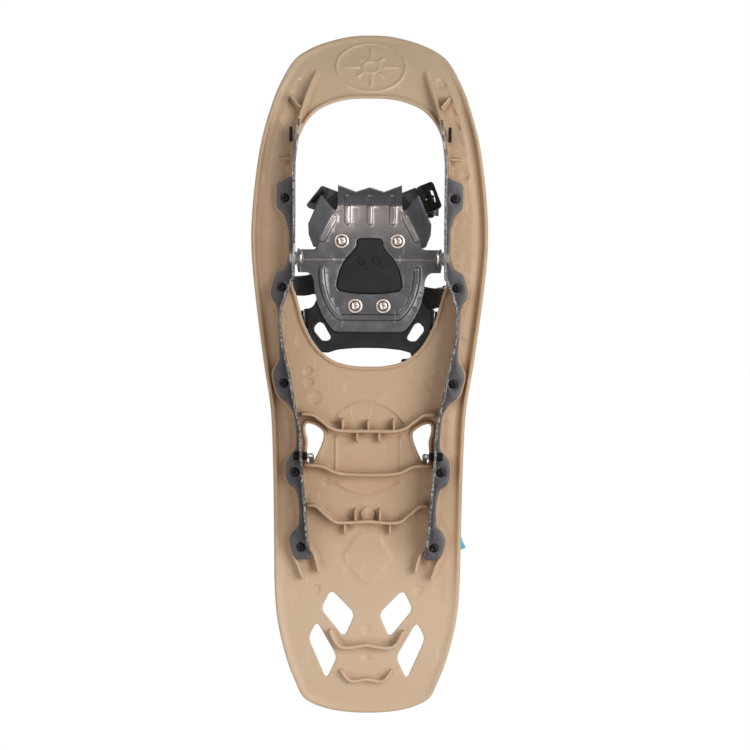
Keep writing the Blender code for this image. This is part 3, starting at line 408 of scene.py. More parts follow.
def deck_material():
    s = Surface("deck_plastic", (203, 172, 139), 0.50)
    s.tint(s.noise(9, 0.3, 0.7), (190, 158, 125), 0.55)
    s.tint(s.noise(55, 0.52, 0.75, 6), (214, 186, 155), 0.35)
    # painted light: the deck is made lighter toward the tail, standing in for light that falls there
    s.tint(s.above(s.along("Y"), 0.09, 0.21), (218, 191, 162), 0.7)
    s.tint(s.below(s.along("Y"), -0.27, -0.16), (222, 196, 164), 0.8)
    # painted shade: darker brown down in the deck's grooves and corners, where shade falls
    s.tint(s.painted_crevice_shade(0.009, 0.9, 0.35), (136, 98, 68), 0.75)
    scuffs = s.noise(160, 0.62, 0.70, 8, (1, 0.25, 1))
    s.tint(scuffs, (224, 204, 180), 0.35)
    s.gloss(s.noise(35, 0.4, 0.7), 0.60)
    s.relief(s.noise(2200, 0.2, 0.8, 2), 0.00004)
    s.relief(s.noise(420, 0.3, 0.7, 3), 0.00003)
    s.relief(scuffs, 0.00003)
    return s.done()


def rail_material():
    """Grey-painted steel; the teeth's tips and edge are worn bright, with dull streaks along them."""
    s = Surface("rail_steel", (100, 96, 100), 0.40, 0.35)
    s.tint(s.noise(60, 0.4, 0.7, 6), (84, 80, 82), 0.7)
    height = s.along("Z")
    ragged = s.math("ADD", height, s.math("MULTIPLY", s.noise(700, 0.3, 0.75, 6), 0.004))
    tips = s.below(ragged, 0.0024, 0.0046)
    edge = s.math("MULTIPLY", s.underside(), s.below(height, 0.0160, 0.0170))
    low_wear = s.math("MAXIMUM", tips, edge)
    s.tint(low_wear, (214, 211, 208), 0.95)
    streaks = s.noise(1500, 0.42, 0.56, 4, (1, 0.03, 0.3))
    s.tint(s.math("MULTIPLY", streaks, low_wear), (66, 63, 65), 0.85)
    dull = s.math("MULTIPLY", s.above(s.along("Y"), -0.10, 0.06), s.noise(420, 0.42, 0.58, 6, (1, 0.4, 1)))
    s.tint(dull, (84, 79, 79), 0.8)
    s.tint(s.noise(900, 0.66, 0.72, 4), (150, 147, 144), 0.5)
    s.gloss(low_wear, 0.26)
    s.relief(s.noise(1400, 0.3, 0.7, 3), 0.00004)
    return s.done()


def crampon_material():
    """Bare spring steel with painted reflections: warmer and brighter at the toe, bluer on the claw, and a
    painted highlight line on the axis.
    """
    s = Surface("crampon_steel", (105, 104, 107), 0.28, 0.75)
    # painted reflection: warmer and brighter toward the toe
    toe = s.below(s.along("Y"), -0.130, -0.094)
    s.tint(toe, (182, 172, 168), 0.85)
    # painted reflection: the bent-down claw is given a cooler, bluer grey
    claw = s.below(s.along("Z"), 0.0272, 0.0296)
    s.tint(claw, (122, 130, 139), 0.9)
    # painted highlight: a bright warm line along the pivot axis crease
    off_axis = s.math("ABSOLUTE", s.math("SUBTRACT", s.along("Y"), (PIVOT[0] + CENTRE[1]) * MM), 0)
    s.tint(s.below(off_axis, 0.0003, 0.0008), (232, 212, 202), 0.45)
    s.tint(s.noise(28, 0.35, 0.7, 5), (98, 97, 98), 0.35)
    s.tint(s.noise(2400, 0.60, 0.68, 2), (216, 208, 203), 0.30)
    scratches = s.noise(240, 0.66, 0.71, 8, (1, 0.12, 1))
    s.tint(scratches, (196, 193, 190), 0.35)
    s.gloss(s.noise(90, 0.4, 0.7), 0.42)
    s.relief(s.noise(1500, 0.3, 0.7, 3), 0.00003)
    return s.done()


def plain(name, colour, rough, spots, grain, dull=None, **shader):
    """Spots are (noise, colour, amount), dull patches (noise, roughness) and the grain (noise, depth)."""
    s = Surface(name, colour, rough, **shader)
    for noise, spot, amount in spots:
        s.tint(s.noise(*noise), spot, amount)
    if dull:
        s.gloss(s.noise(*dull[0]), dull[1])
    s.relief(s.noise(*grain[0]), grain[1])
    return s


def zinc_material():
    return plain("zinc", (214, 204, 197), 0.22, [((260, 0.45, 0.7, 5), (184, 172, 164), 0.6)],
                 ((1800, 0.3, 0.7, 3), 0.00001), ((420, 0.4, 0.7), 0.32), metal=1.0).done()


def washer_material():
    """Zinc rings with painted shade in the dish round the rivet."""
    s = plain("washer_zinc", (226, 207, 197), 0.34, [((260, 0.45, 0.7, 5), (200, 182, 172), 0.6)],
              ((1800, 0.3, 0.7, 3), 0.00001), metal=0.8)
    # painted shade: dark in the dish round the rivet
    s.tint(s.above(s.along("Z"), 0.0303, 0.0305), (74, 66, 62), 0.85)
    return s.done()


def black_plastic_material():
    """Glass-filled nylon with a fine spark-eroded grain and scuffed high spots."""
    s = plain("black_plastic", (19, 19, 19), 0.42, [((60, 0.45, 0.75, 5), (33, 33, 33), 0.5)],
              ((1900, 0.25, 0.75, 2), 0.00006), ((90, 0.4, 0.7), 0.52), specular=0.3)
    scuffs = s.noise(210, 0.68, 0.74, 8, (1, 0.3, 1))
    s.tint(scuffs, (65, 65, 65), 0.3)
    s.relief(scuffs, 0.00003)
    return s.done()


def screw_material():
    return plain("black_screws", (26, 26, 27), 0.26, [((700, 0.6, 0.7, 4), (96, 94, 92), 0.5)],
                 ((1800, 0.3, 0.7, 3), 0.00003), metal=0.5).done()


def rubber_material():
    return plain("pad_rubber", (31, 31, 31), 0.62, [((70, 0.4, 0.7, 5), (41, 40, 39), 0.6)],
                 ((1300, 0.3, 0.7, 4), 0.00012), specular=0.25).done()


def strap_material():
    """Black moulded strap: a dull skin with fine pores and pale rubbed spots."""
    spots = [((90, 0.45, 0.72, 5), (34, 33, 33), 0.6), ((500, 0.62, 0.70, 6), (84, 82, 79), 0.4)]
    return plain("strap_webbing", (20, 20, 21), 0.50, spots, ((2400, 0.25, 0.75, 2), 0.00008),
                 ((120, 0.4, 0.7), 0.62)).done()


def cyan_material():
    spots = [((80, 0.4, 0.7, 5), (84, 178, 210), 0.6), ((300, 0.64, 0.70, 6), (168, 220, 234), 0.5)]
    return plain("cyan_grip", (104, 196, 224), 0.42, spots, ((1900, 0.25, 0.75, 2), 0.00008)).done()


def wire_material():
    return plain("wire_steel", (150, 149, 147), 0.28, [((150, 0.45, 0.7, 6), (104, 103, 101), 0.8)],
                 ((1200, 0.3, 0.7, 3), 0.00004), ((260, 0.4, 0.7), 0.42), metal=1.0).done()


def floor_material():
    """A pale floor that fades into the white round it, and clear from below, to show the underside."""
    s = Surface("floor_paper", (236, 235, 232), 0.75)
    s.tint(s.noise(3, 0.3, 0.7), (231, 230, 227), 0.5)
    mat = s.done()
    away_by = s.node("ShaderNodeVectorMath", "Value", {0: s.place}, operation="LENGTH")
    white = s.node("ShaderNodeEmission", 0, {})
    fade = s.above(away_by, 0.45, 1.9)
    faded = s.node("ShaderNodeMixShader", 0, {0: fade, 1: s.shader.outputs[0], 2: white})
    below = s.node("ShaderNodeNewGeometry", "Backfacing", {})
    clear = s.node("ShaderNodeBsdfTransparent", 0, {})
    both = s.node("ShaderNodeMixShader", 0, {0: below, 1: faded, 2: clear})
    s.tree.links.new(both, s.tree.nodes["Material Output"].inputs["Surface"])
    return mat


# ---------------------------------------------------------------- deck
LINE_STEP = 2.2
GRID_STEP = 3.2
RIM_STEPS = [0.5, 1.1, 1.9, 2.9, 3.7, 4.5, 5.5, 7.5, 9.5, 12]
RIB_WALL, RIB_FOOT = 0.45, 1.9  # how far a rib's drafted side and its fillet reach beyond it
RIB_STEPS = [-0.55, -0.2, 0.0, RIB_WALL, 1.0, RIB_FOOT]
LIP_STEPS, LIP_HEIGHTS = [0.5, 1.4, 2.6, 3.1, 3.7], [1.0, 1.7, 1.9, 1.6, 0.6, 0]
WALL_CREST = 20.3
HEEL_ARC = [(0, 22.2), (10, 23.6), (21.5, 30), (29, 38.6)]
HEEL_CHIN = [(0, 97.7), (7, 97), (17, 93.6), (25.5, 88.7)]
KITE = [(7.8, 127.3), (22.6, 149.5), (12, 164), (0, 175), (-12, 164), (-22.6, 149.5), (-7.8, 127.3)]
KITE_BEVEL, KITE_HEIGHT = 2.6, 1.1
EJECTORS = [(58, -242, 4.1), (77.9, -164.3, 3.5), (50, -3.3, 3.7), (49, 6.6, 3.5), (44, 19, 5.6),
            (26, 38.6, 3.8), (34.2, 88, 3.8), (76.2, -28, 3.4), (42, 175.8, 3.6), (0, 208.6, 3.4),
            (0, 231.6, 3.4)]
EJECTOR_DEPTH = 0.35
BOSS, BOSS_HEIGHT = (0, 114.6, 6.3), 1.4
TAIL_START = 150.0  # behind this line the holes have a soft edge in place of a lip
FIN = [(43.7, -256.5), (51, -235), (57.6, -213), (62.4, -189.5)]
SCREW_BOSS, SCREW_HOLE, SCREW_DEPTH = 4.5, 2.1, 27.0  # two radii and the height of the hole's end


def deck_outline():
    return even(spline(both_sides(HALF_OUTLINE), 1.5, closed=True), LINE_STEP, True)


def deck_holes():
    holes = [even(spline(both_sides(FOOT_HOLE), 1.5, closed=True), LINE_STEP, True)]
    for side in (1, -1):
        holes.append(even(mirrored(spline(SIDE_HOLE, 1, closed=True), side), LINE_STEP * 0.6, True))
        holes += [even(mirrored(rounded(h, 5), side), LINE_STEP * 0.6, True) for h in TAIL_HOLES]
    return holes


def deck_ribs():
    """(line, half width, crest at its start, crest at its end, power of the slope between) of each rib."""
    ribs = []
    for rib, crest in ((RIB_A, 20), (RIB_B, 20), (RIB_C, 20), (TAIL_RIB_1, 22), (TAIL_RIB_2, 27)):
        ribs.append((even(both_sides(spline(rib, 2)), LINE_STEP), 1.2, crest, crest, 1))
    for x, y0, y1 in ((0, 38, 45), (21, 37, 45), (9, 47, 54), (10, 110.5, 119.5), (18.5, 122.5, 129.5)):
        for side in ((1, -1) if x else (1,)):
            ribs.append(([(side * x, y) for y in (y0, (y0 + y1) / 2, y1)], 0.9, 22, 22, 1))
    for side in (1, -1):
        wall = spline([(x + 3.3, y) for x, y in BLADE_LINE if y < 140] + [(43, 148.5), (39.8, 160.6)], 3)
        wall = mirrored([p for p in wall if p[1] > -188], side)
        ribs.append((even(wall, LINE_STEP), 1.2, WALL_CREST, WALL_CREST, 1))
        outer = even(FLANGE_EDGE[:-2] + [(57, 155), (52.8, 166.3)], LINE_STEP)
        ribs.append((mirrored(outer, side), 1.2, WALL_CREST, WALL_CREST, 1))
        ribs.append((mirrored(spline(FIN, LINE_STEP), side), 1.4, 78, WALL_CREST, 0.5))
        ribs.append((mirrored([(65.3, -229), (58.4, -220.5)], side), 0.9, 40, 32, 1))
        ribs.append((mirrored([(73.8, -177), (66, -177)], side), 0.9, 26, 24, 1))
    return ribs


def emblem():
    """A plain compass rose in a ring, foreshortened by the nose's slope."""
    lean, centre = 0.75, -257
    marks = []
    for radius, height in ((29, 0.7), (7, 0.6)):
        loop = [(radius * math.cos(a), centre + radius * lean * math.sin(a))
                for a in np.linspace(0, 2 * math.pi, 3 * int(radius) + 8)[:-1]]
        marks.append((loop, True, 0.7, height))
    for k in range(8):
        a = math.pi * k / 4
        reach = 22 if k % 2 == 0 else 15
        tick = [(r * math.cos(a), centre + r * lean * math.sin(a)) for r in (10.5, reach)]
        marks.append((tick, False, 0.7, 0.7))
    return marks


def deck_embosses():
    """(line, closed, half width, height) of each shallow raised line under the deck."""
    lines = [even(spline(mirrored(half[:0:-1], -1) + half, 1), LINE_STEP) for half in (HEEL_ARC, HEEL_CHIN)]
    lines += [[(x, 50.9), (x, 65), (x, 79.7)] for x in (-26.4, 26.4)]
    return [(line, False, 0.9, 0.8) for line in lines] + emblem()


def kite_outline():
    return even(rounded(KITE, 5), LINE_STEP, True)


def ejector_marks():
    return [(side * x, y, r) for x, y, r in EJECTORS for side in ((1, -1) if x else (1,))]


def deck_skin(points):
    """The heights of the deck's underside and top, without its ribs, lips and raised lines."""
    x, y = np.abs(points[:, 0]), points[:, 1]
    edge = distance(points, deck_outline(), reach=13)[0]
    line = np.array(BLADE_LINE)
    beside = smooth(ramp(x - np.interp(y, line[:, 1], line[:, 0]), 0.5, 6.5))
    beside *= smooth(ramp(y, -215, -175)) * (1 - smooth(ramp(y, 150, 185)))
    base = DECK_LOW + (SIDE_LOW - DECK_LOW) * beside
    rim = smooth(ramp(y, -262, -200)) * (1 - smooth(ramp(y, 130, 200)))
    thick = DECK_TOP - DECK_LOW
    across = [0, 0.5, 1.1, 1.9, 2.9, 4.5, 5.5, 7.5, 12]
    low_rim = np.interp(edge, across, [26.2, 25.2, 24.7, RIM_LOW, 24.8, 29.0, 29.6, GROOVE_LOW, SIDE_LOW])
    shallow = np.interp(edge, across, [26.2, 25.2, 24.7, RIM_LOW, 24.8, 26.4, 27.1, 27.6, SIDE_LOW])
    low_rim += (shallow - low_rim) * smooth(ramp(y, 50, 105))
    top_rim = np.interp(edge, [0, 0.5, 1.1, 2.9, 5.5, 7.5, 12],
                        [27.4, 28.5, 29.4, 31.5, 32.5, 32.2, SIDE_LOW + thick])
    low_rim = np.where(edge < 12, low_rim, base)
    top_rim = np.where(edge < 12, top_rim, base + thick)
    lip = np.interp(edge, [0, 0.5, 1.1, 1.9, 2.9, 3.7, 4.5, 5.5, 7.5],
                    [-0.7, -1.4, -1.6, -1.6, -1.4, -1.05, -0.7, -0.4, 0])
    soft_edge = np.interp(edge, [0, 0.5, 1.1, 1.9], [-1.0, -0.35, -0.08, 0])
    u, v = np.maximum(0.0, -150.0 - y), np.maximum(0.0, y - 205.0)
    rise = 0.0022 * u**2 + 1.05e-5 * u**3 + 0.0012 * v**2
    low = base + rim * (low_rim - base) + (1 - rim) * lip + rise
    return low, base + thick + rim * (top_rim - base - thick) + (1 - rim) * soft_edge + rise


def deck_low(points):
    """The underside: lips round the holes, raised lines, kite, boss, ribs and screw bosses."""
    skin = deck_skin(points)[0]
    for hole in deck_holes():
        gap = distance(points, hole, reach=5)[0]
        if hole[0][1] > TAIL_START:
            skin += np.interp(gap, [0, 0.5, 1.4], [0.5, 0.1, 0])
        else:
            skin -= np.interp(gap, [0] + LIP_STEPS, LIP_HEIGHTS)
    for line, closed, half, height in deck_embosses():
        gap = distance(points, line, closed, reach=4)[0]
        skin -= height * (1 - smooth(ramp(gap, half - 0.4, half + 0.5)))
    for x, y, radius in ejector_marks():
        skin += EJECTOR_DEPTH * (1 - smooth(ramp(away(points, x, y), radius - 0.4, radius)))
    kite = kite_outline()
    gap = distance(points, kite, reach=KITE_BEVEL + 2)[0]
    skin -= KITE_HEIGHT * np.where(inside(points, kite), ramp(gap, 0, KITE_BEVEL), 0)
    x, y, radius = BOSS
    skin -= BOSS_HEIGHT * (1 - smooth(ramp(away(points, x, y), radius - 0.6, radius + 0.6)))
    low = skin.copy()
    for line, half, start, end, power in deck_ribs():
        gap, along = distance(points, line, closed=False, reach=half + 3)
        crest = start + (end - start) * along**power
        crest = crest + np.interp(gap, [0, half - 0.55, half - 0.2, half], [0, 0, 0.15, 0.5])
        foot = skin - 0.9 * (1 - ramp(gap, half + RIB_WALL, half + RIB_FOOT)) ** 2
        wall = ramp(gap, half, half + RIB_WALL)
        rib = np.where(gap < half + RIB_WALL, crest + (foot - crest) * wall, foot)
        low = np.minimum(low, np.where(crest < skin, rib, skin))
    for side in (1, -1):
        for x, y in mirrored(RAIL_SCREWS, side):
            low = np.where(away(points, x, y) < SCREW_BOSS, WALL_CREST, low)
            low = np.where(away(points, x, y) < SCREW_HOLE, SCREW_DEPTH, low)
    return low


def deck_lines(outline, holes):
    """Mesh lines along every step in the deck's underside."""
    lines = rings(outline, *RIM_STEPS)
    for hole in holes:
        lines += rings(hole, *(-step for step in LIP_STEPS))
    for line, half, *_ in deck_ribs():
        lines += [(band(line, half + step), True) for step in RIB_STEPS]
    for line, closed, half, _ in deck_embosses():
        for d in (half - 0.4, half, half + 0.5):
            lines += rings(line, d, -d) if closed else [(band(line, d), True)]
    for x, y, radius in ejector_marks():
        lines += [(circle(x, y, radius - d, 16), True) for d in (0, 0.4)]
    lines += rings(kite_outline(), 0, KITE_BEVEL)
    lines += [(circle(*BOSS[:2], BOSS[2] + d, 28), True) for d in (-0.6, 0, 0.6)]
    for side in (1, -1):
        for x, y in mirrored(RAIL_SCREWS, side):
            for edge in (SCREW_HOLE, SCREW_BOSS):
                lines += [(circle(x, y, edge + d, 14), True) for d in (-0.2, 0.2)]
    return lines


def deck_grid(outline, holes):
    """Points that fill the open areas between the lines."""
    columns, rows = np.arange(-96, 97, GRID_STEP), np.arange(-286, 278, GRID_STEP)
    grid = np.array([(x + (number % 2) * GRID_STEP / 2, y) for number, y in enumerate(rows) for x in columns])
    grid = grid[inside(grid, shrink(outline, 12.5))]
    for hole in holes:
        grid = grid[~inside(grid, shrink(hole, -4))]
    for line, half, *_ in deck_ribs():
        grid = grid[distance(grid, line, closed=False, reach=5)[0] > half + 2.4]
    for line, closed, half, _ in deck_embosses():
        grid = grid[distance(grid, line, closed, reach=4)[0] > half + 1.3]
    return grid


def deck():
    outline, holes = deck_outline(), deck_holes()
    verts, faces = sheet(outline, deck_low, lambda p: deck_skin(p)[1], holes, deck_lines(outline, holes),
                         deck_grid(outline, holes))
    add_mesh("deck", "", verts, faces, deck_material(), sharp=62)


# ---------------------------------------------------------------- bodies from sections and profiles
def outward(verts, faces):
    """The same body with its faces pointing out."""
    pts = np.array(verts, float)
    volume = 0.0
    for f in faces:
        for k in range(1, len(f) - 1):
            volume += pts[f[0]] @ np.cross(pts[f[k]], pts[f[k + 1]])
    return pts, (faces if volume > 0 else [tuple(f)[::-1] for f in faces])


def sweep(sections, ring=False):
    """A closed body through sections of equally many points; a ring joins its last section to its first."""
    rows, count = len(sections), len(sections[0])
    verts = [tuple(p) for s in sections for p in s]
    faces = []
    for i in range(rows if ring else rows - 1):
        here, ahead = i * count, (i + 1) % rows * count
        for k in range(count):
            beside = (k + 1) % count
            faces.append((here + k, here + beside, ahead + beside, ahead + k))
    if not ring:
        faces += [tuple(range(count))[::-1], tuple(range(len(verts) - count, len(verts)))]
    return outward(verts, faces)


def merged(*bodies):
    """Several bodies as one mesh."""
    verts, faces = [], []
    for body_verts, body_faces in bodies:
        faces += [tuple(int(k) + len(verts) for k in f) for f in body_faces]
        verts += [tuple(v) for v in body_verts]
    return verts, faces


def turned(profile, place, axis=(0, 0, 1), count=32, ring=False, lobed=()):
    """A profile of (distance along the axis, radius) pairs turned round it; the lobed ones get six lobes."""
    place, axis = np.array(place, float), np.array(axis, float)
    side = np.array([0, 0, 1.0]) if abs(axis[2]) < 0.5 else np.array([1.0, 0, 0])
    other = np.cross(axis, side)
    angles = np.arange(count) * 2 * math.pi / count
    sections = []
    for i, (h, r) in enumerate(profile):
        wave = 1 + (LOBE_DEPTH if i in lobed else 0) * np.cos(6 * angles)
        sections.append([place + axis * h + r * w * (math.cos(a) * side + math.sin(a) * other)
                         for a, w in zip(angles, wave)])
    return sweep(sections, ring)


def turned_piece(node, profile, place, mat, **how):
    add_mesh(node, "_turned", *turned(profile, place, **how), mat)


def ahead_at(pts, i):
    """The direction of a path at one of its points."""
    ahead = pts[min(i + 1, len(pts) - 1)] - pts[max(i - 1, 0)]
    return ahead / np.linalg.norm(ahead)


def along_path(path, wides, profile, ends=0.8):
    """A body whose section, (breadth, thickness) pairs, follows a path; wides point along the breadth."""
    pts = np.array(path, float)
    sections = []
    for i, p in enumerate(pts):
        ahead = ahead_at(pts, i)
        across = np.array(wides[i], float)
        across -= ahead * (across @ ahead)
        across /= np.linalg.norm(across)
        out = np.cross(ahead, across)
        tip = ends if i in (0, len(pts) - 1) else 1.0
        sections.append([p + across * u * tip + out * v * tip for u, v in profile])
    return sweep(sections)


def tube(path, radius, count=18):
    """A round bar along a path of points, with rounded ends."""
    pts = np.array(path, float)
    side = np.array([0.0, 0.0, 1.0])
    angles = np.arange(count) * 2 * math.pi / count
    sections = []
    for i, p in enumerate(pts):
        ahead = ahead_at(pts, i)
        side = side - ahead * (side @ ahead)
        side /= np.linalg.norm(side)
        other = np.cross(ahead, side)
        r = radius * (0.72 if i in (0, len(pts) - 1) else 1.0)
        sections.append([p + r * (math.cos(a) * side + math.sin(a) * other) for a in angles])
    return sweep(sections)


def bend_reach(angle, radius):
    """How far from the fold line a bend of this radius starts."""
    return radius * math.tan(math.radians(abs(angle)) / 2)


def fold(verts, region, at, along, angle, hinge_z, radius=1.2):
    """Bends a region about a line, on its left looking along it; positive is up, to an inner radius."""
    at, along = np.array([*at, hinge_z], float), np.array([*along, 0.0]) / np.hypot(*along)
    out = np.array(verts, float)
    left, up = np.array([-along[1], along[0], 0.0]), np.array([0, 0, 1.0])
    reach, full = bend_reach(angle, radius), math.radians(angle)
    far = (out - at) @ left
    picked = region & (far > -reach + 1e-6)
    rel = out[picked] - at
    turn = full * ramp(rel @ left, -reach, reach)
    past = np.maximum(rel @ left - reach, 0)
    c, s = np.cos(turn), np.sin(turn)
    across = -reach + radius * np.abs(s) + past * c - rel[:, 2] * s
    height = math.copysign(radius, angle) * (1 - c) + past * s + rel[:, 2] * c
    out[picked] = at + np.outer(rel @ along, along) + np.outer(across, left) + np.outer(height, up)
    return out


def bend_lines(a, b, out, angle, radius=1.2):
    """Mesh lines across a bend from a to b; out is the direction to its far side."""
    reach = bend_reach(angle, radius)
    return [([tuple(np.array(p) + np.array(out) * d) for p in (a, b)], False)
            for d in np.linspace(-reach, reach, 7)]


HARD_EDGE, FLAT_EDGE = 28.0, 1.5  # degrees: the edges that are rounded off, and the ones that are dropped


def refined(node, width, mat):
    """A CAD node's own shape with its hard edges rounded off by width millimetres."""
    source = bpy.data.objects[node]
    bm = bmesh.new()
    bm.from_mesh(source.data)
    bmesh.ops.remove_doubles(bm, verts=bm.verts, dist=0.00001)
    bmesh.ops.dissolve_limit(bm, angle_limit=math.radians(FLAT_EDGE), verts=bm.verts, edges=bm.edges)
    hard = math.radians(HARD_EDGE)
    edges = [e for e in bm.edges if len(e.link_faces) == 2 and e.calc_face_angle() > hard]
    bmesh.ops.bevel(bm, geom=edges, offset=width * MM, segments=3, profile=0.5, affect="EDGES",
                    clamp_overlap=True)
    bmesh.ops.triangulate(bm, faces=[f for f in bm.faces if len(f.verts) > 4])
    mesh = bpy.data.meshes.new(node + "_fine")
    bm.to_mesh(mesh)
    bm.free()
    stand_in(node + "_fine", mesh, node, mat, 32, source.matrix_world.copy())


# ---------------------------------------------------------------- rails and their hardware
TOOTH_PITCH, TOOTH_DEPTH = 12.4, 4.5
BLADE_ENDS = [(-209, -178, 18.5), (132, 148, 14.0)]  # where the blade's edge slopes up, and by how much
LOBE_DEPTH = 0.13
SLIVER = 0.01  # the radius that closes a turned body's end


def stations(line, step):
    """Points along a line at whole multiples of a step, and their distances from its start."""
    pts = np.array(line, float)
    length = np.concatenate([[0], np.cumsum(np.linalg.norm(np.diff(pts, axis=0), axis=1))])
    at = np.append(np.arange(0, length[-1] - step / 2, step), length[-1])
    return np.stack([np.interp(at, length, pts[:, k]) for k in range(2)], 1), at


def blade(side):
    """The upright strip: teeth along its lower edge, but none at the pivot, and both ends cut away."""
    line, lengths = stations(spline(BLADE_LINE, 0.5), TOOTH_PITCH / 10)
    sections = []
    for (x, y), run in zip(line, lengths):
        tooth = TOOTH_DEPTH * abs((run / TOOTH_PITCH) % 1 * 2 - 1)
        (front, front_end, front_lift), (rear, rear_end, rear_lift) = BLADE_ENDS
        lift = front_lift * (1 - ramp(y, front, front_end)) + rear_lift * ramp(y, rear, rear_end)
        top = FLANGE_TOP
        low = min((0.0 if abs(y - PIVOT[0]) < 12 else tooth) + float(lift), top - 1.5)
        profile = [(0.3, low), (1.7, low), (2.0, low + 0.3), (2.0, top - 0.1), (1.7, top), (1.1, top - 0.1),
                   (0.5, top - 0.5), (0.12, top - 1.0), (0.0, top - 1.4), (0.0, low + 0.1)]
        sections.append([(side * (x + u), y, z) for u, z in profile])
    return sweep(sections)


def flange(side):
    """The tabbed flange, with a dimple pressed in round each screw."""
    inner = [(x + 1.8, y) for x, y in spline([p for p in BLADE_LINE if -162 < p[1] < 136], 2)]
    edge = [(62.6, -162.0)] + FLANGE_EDGE[1:] + [(47.8, 146)]
    outline = even(rounded(mirrored(edge + inner[::-1], side), 1.2, 3), 1.6, True)
    screws = mirrored(RAIL_SCREWS, side)

    def worn(points):
        return 0.4 * bevel(distance(points, outline, reach=2)[0], 0.5)

    def low(points):
        z = FLANGE_LOW + worn(points)
        for x, y in screws:
            z += 0.9 * (1 - smooth(ramp(away(points, x, y), 2.6, 4.6)))
        return z

    lines = rings(outline, 0.25, 0.5)
    lines += [(circle(x, y, r, 24), True) for x, y in screws for r in (2.6, 3.2, 3.9, 4.6)]
    holes = [circle(x, y, 2.0, 20) for x, y in screws]
    return sheet(outline, low, lambda points: FLANGE_TOP - worn(points), holes, lines)


def rail(side, word, mat):
    add_mesh(f"rail_{word}", "_steel", *merged(blade(side), flange(side)), mat)


def rail_screw(node, x, y, mat):
    """A button head with a lobed socket in it."""
    profile = [(0.1, SLIVER), (0.1, 1.3), (-1.3, 1.45), (-1.5, 1.7), (-1.5, 2.2), (-1.3, 2.8), (-0.9, 3.2),
               (-0.5, 3.3), (-0.3, 3.2), (-0.3, 1.7), (7.5, 1.7), (8.5, 0.8)]
    turned_piece(node, profile, (x, y, FLANGE_LOW), mat, count=36, lobed=(1, 2))


def blade_x(y):
    line = np.array(BLADE_LINE)
    return float(np.interp(y, line[:, 1], line[:, 0]))


def pivot_rivet(side, word, mat):
    profile = [(-7.3, SLIVER), (-7.3, 2.2), (-7.0, 3.9), (-6.3, 5.5), (-5.6, 6.2), (-4.9, 6.3), (-4.6, 6.2),
               (-4.6, 3.7), (-1.6, 3.7), (-1.6, 5.1), (-1.3, 5.4), (-0.6, 5.4), (-0.3, 5.1), (-0.3, 3.7),
               (2.4, 3.7), (2.4, 5.6), (3.4, 5.6), (3.8, 5.2), (4.4, 4.0), (4.4, 2.0), (3.2, 1.8),
               (3.2, SLIVER)]
    place = (side * blade_x(PIVOT[0]), *PIVOT)
    turned_piece(f"pivot_rivet_{word}", profile, place, mat, axis=(side, 0, 0), count=40)


def lifter_clip(side, word, mat):
    profile = [(0.3, 2.45), (0, 2.7), (0, 3.0), (0.3, 3.3), (3.0, 3.3), (3.3, 3.1), (7.0, 3.1), (7.3, 3.3),
               (11.2, 3.3), (11.5, 3.0), (11.5, 2.7), (11.2, 2.45)]
    place = (side * (blade_x(LIFT[0]) - 4.0), *LIFT)
    turned_piece(f"lifter_clip_{word}", profile, place, mat, axis=(side, 0, 0), ring=True)


# ---------------------------------------------------------------- crampon
CLAW_Y, CLAW_ANGLE = -139.1, 66.5  # the claw's fold line and how far down it's bent
FIN_AT, FIN_ALONG, FIN_OUT, FIN_ANGLE = (27.5, -134.5), (-0.46, -0.888), (0.888, -0.46), 54.0
EAR_X = 57.0  # where the pivot ears are bent down square
PLATE_HALF = [(0, CLAW_Y - 30), (11.5, CLAW_Y - 22), (26, CLAW_Y - 34), (26.5, CLAW_Y), (27, -136.8),
              (27.5, -134.5), (32.8, -137.5), (48.3, -150.9), (57.6, -127.0), (54.6, -116.9), (46.5, -105.3),
              (43.1, -104.3), (46, -103), (EAR_X, -103), (75, -103), (82, -101), (85.5, -94.7), (82, -88.4),
              (75, -86.4), (EAR_X, -84), (51, -84), (47.8, -82), (45.7, -77.5), (44.8, -68), (42.8, -59.5),
              (39.7, -51.5), (35.6, -44.5), (31.4, -38.7), (28.9, -36.1), (25, -35.6), (0, -35.4)]
WINDOW_HALF = [(0, -112.5), (9, -112.3), (11, -110), (11, -105.5), (15, -100.5), (20.5, -94.5), (24.5, -86.5),
               (27, -77), (27.3, -72), (25.5, -69), (14, -67), (0, -66.3)]
BASE_RIVETS = [(23, -109.9), (-23, -109.9), (11.5, -56.6), (-11.5, -56.6)]
PAD_STUDS = [(6.2, -94), (-6.2, -94)]
RIVET_LOW = PLATE_LOW - 1.3
BEAD_WALL = 1.3


def plate_beads():
    """(line, half width, depth) of each bead pressed into the plate."""
    beads = [([(x, -156.5), (x, -145), (x, -125.6)], 3.0, 1.3) for x in (-18.5, 0, 18.5)]
    arm = spline([(39.3, -86.3), (38.4, -75), (35.6, -64), (30.8, -54.5), (24.5, -47.2)], 2)
    beads.append((even(mirrored(arm, -1) + arm[::-1], 2), 3.0, 1.6))
    foot, along, out = np.array(FIN_AT), -np.array(FIN_ALONG), np.array(FIN_OUT)
    for side in (1, -1):
        beads.append((mirrored([foot + along * a + out * -0.9 for a in (6, 15, 25.5)], side), 3.3, 1.7))
        beads.append((mirrored([(30, PIVOT[0]), (54, PIVOT[0])], side), 1.1, 0.7))
    return beads


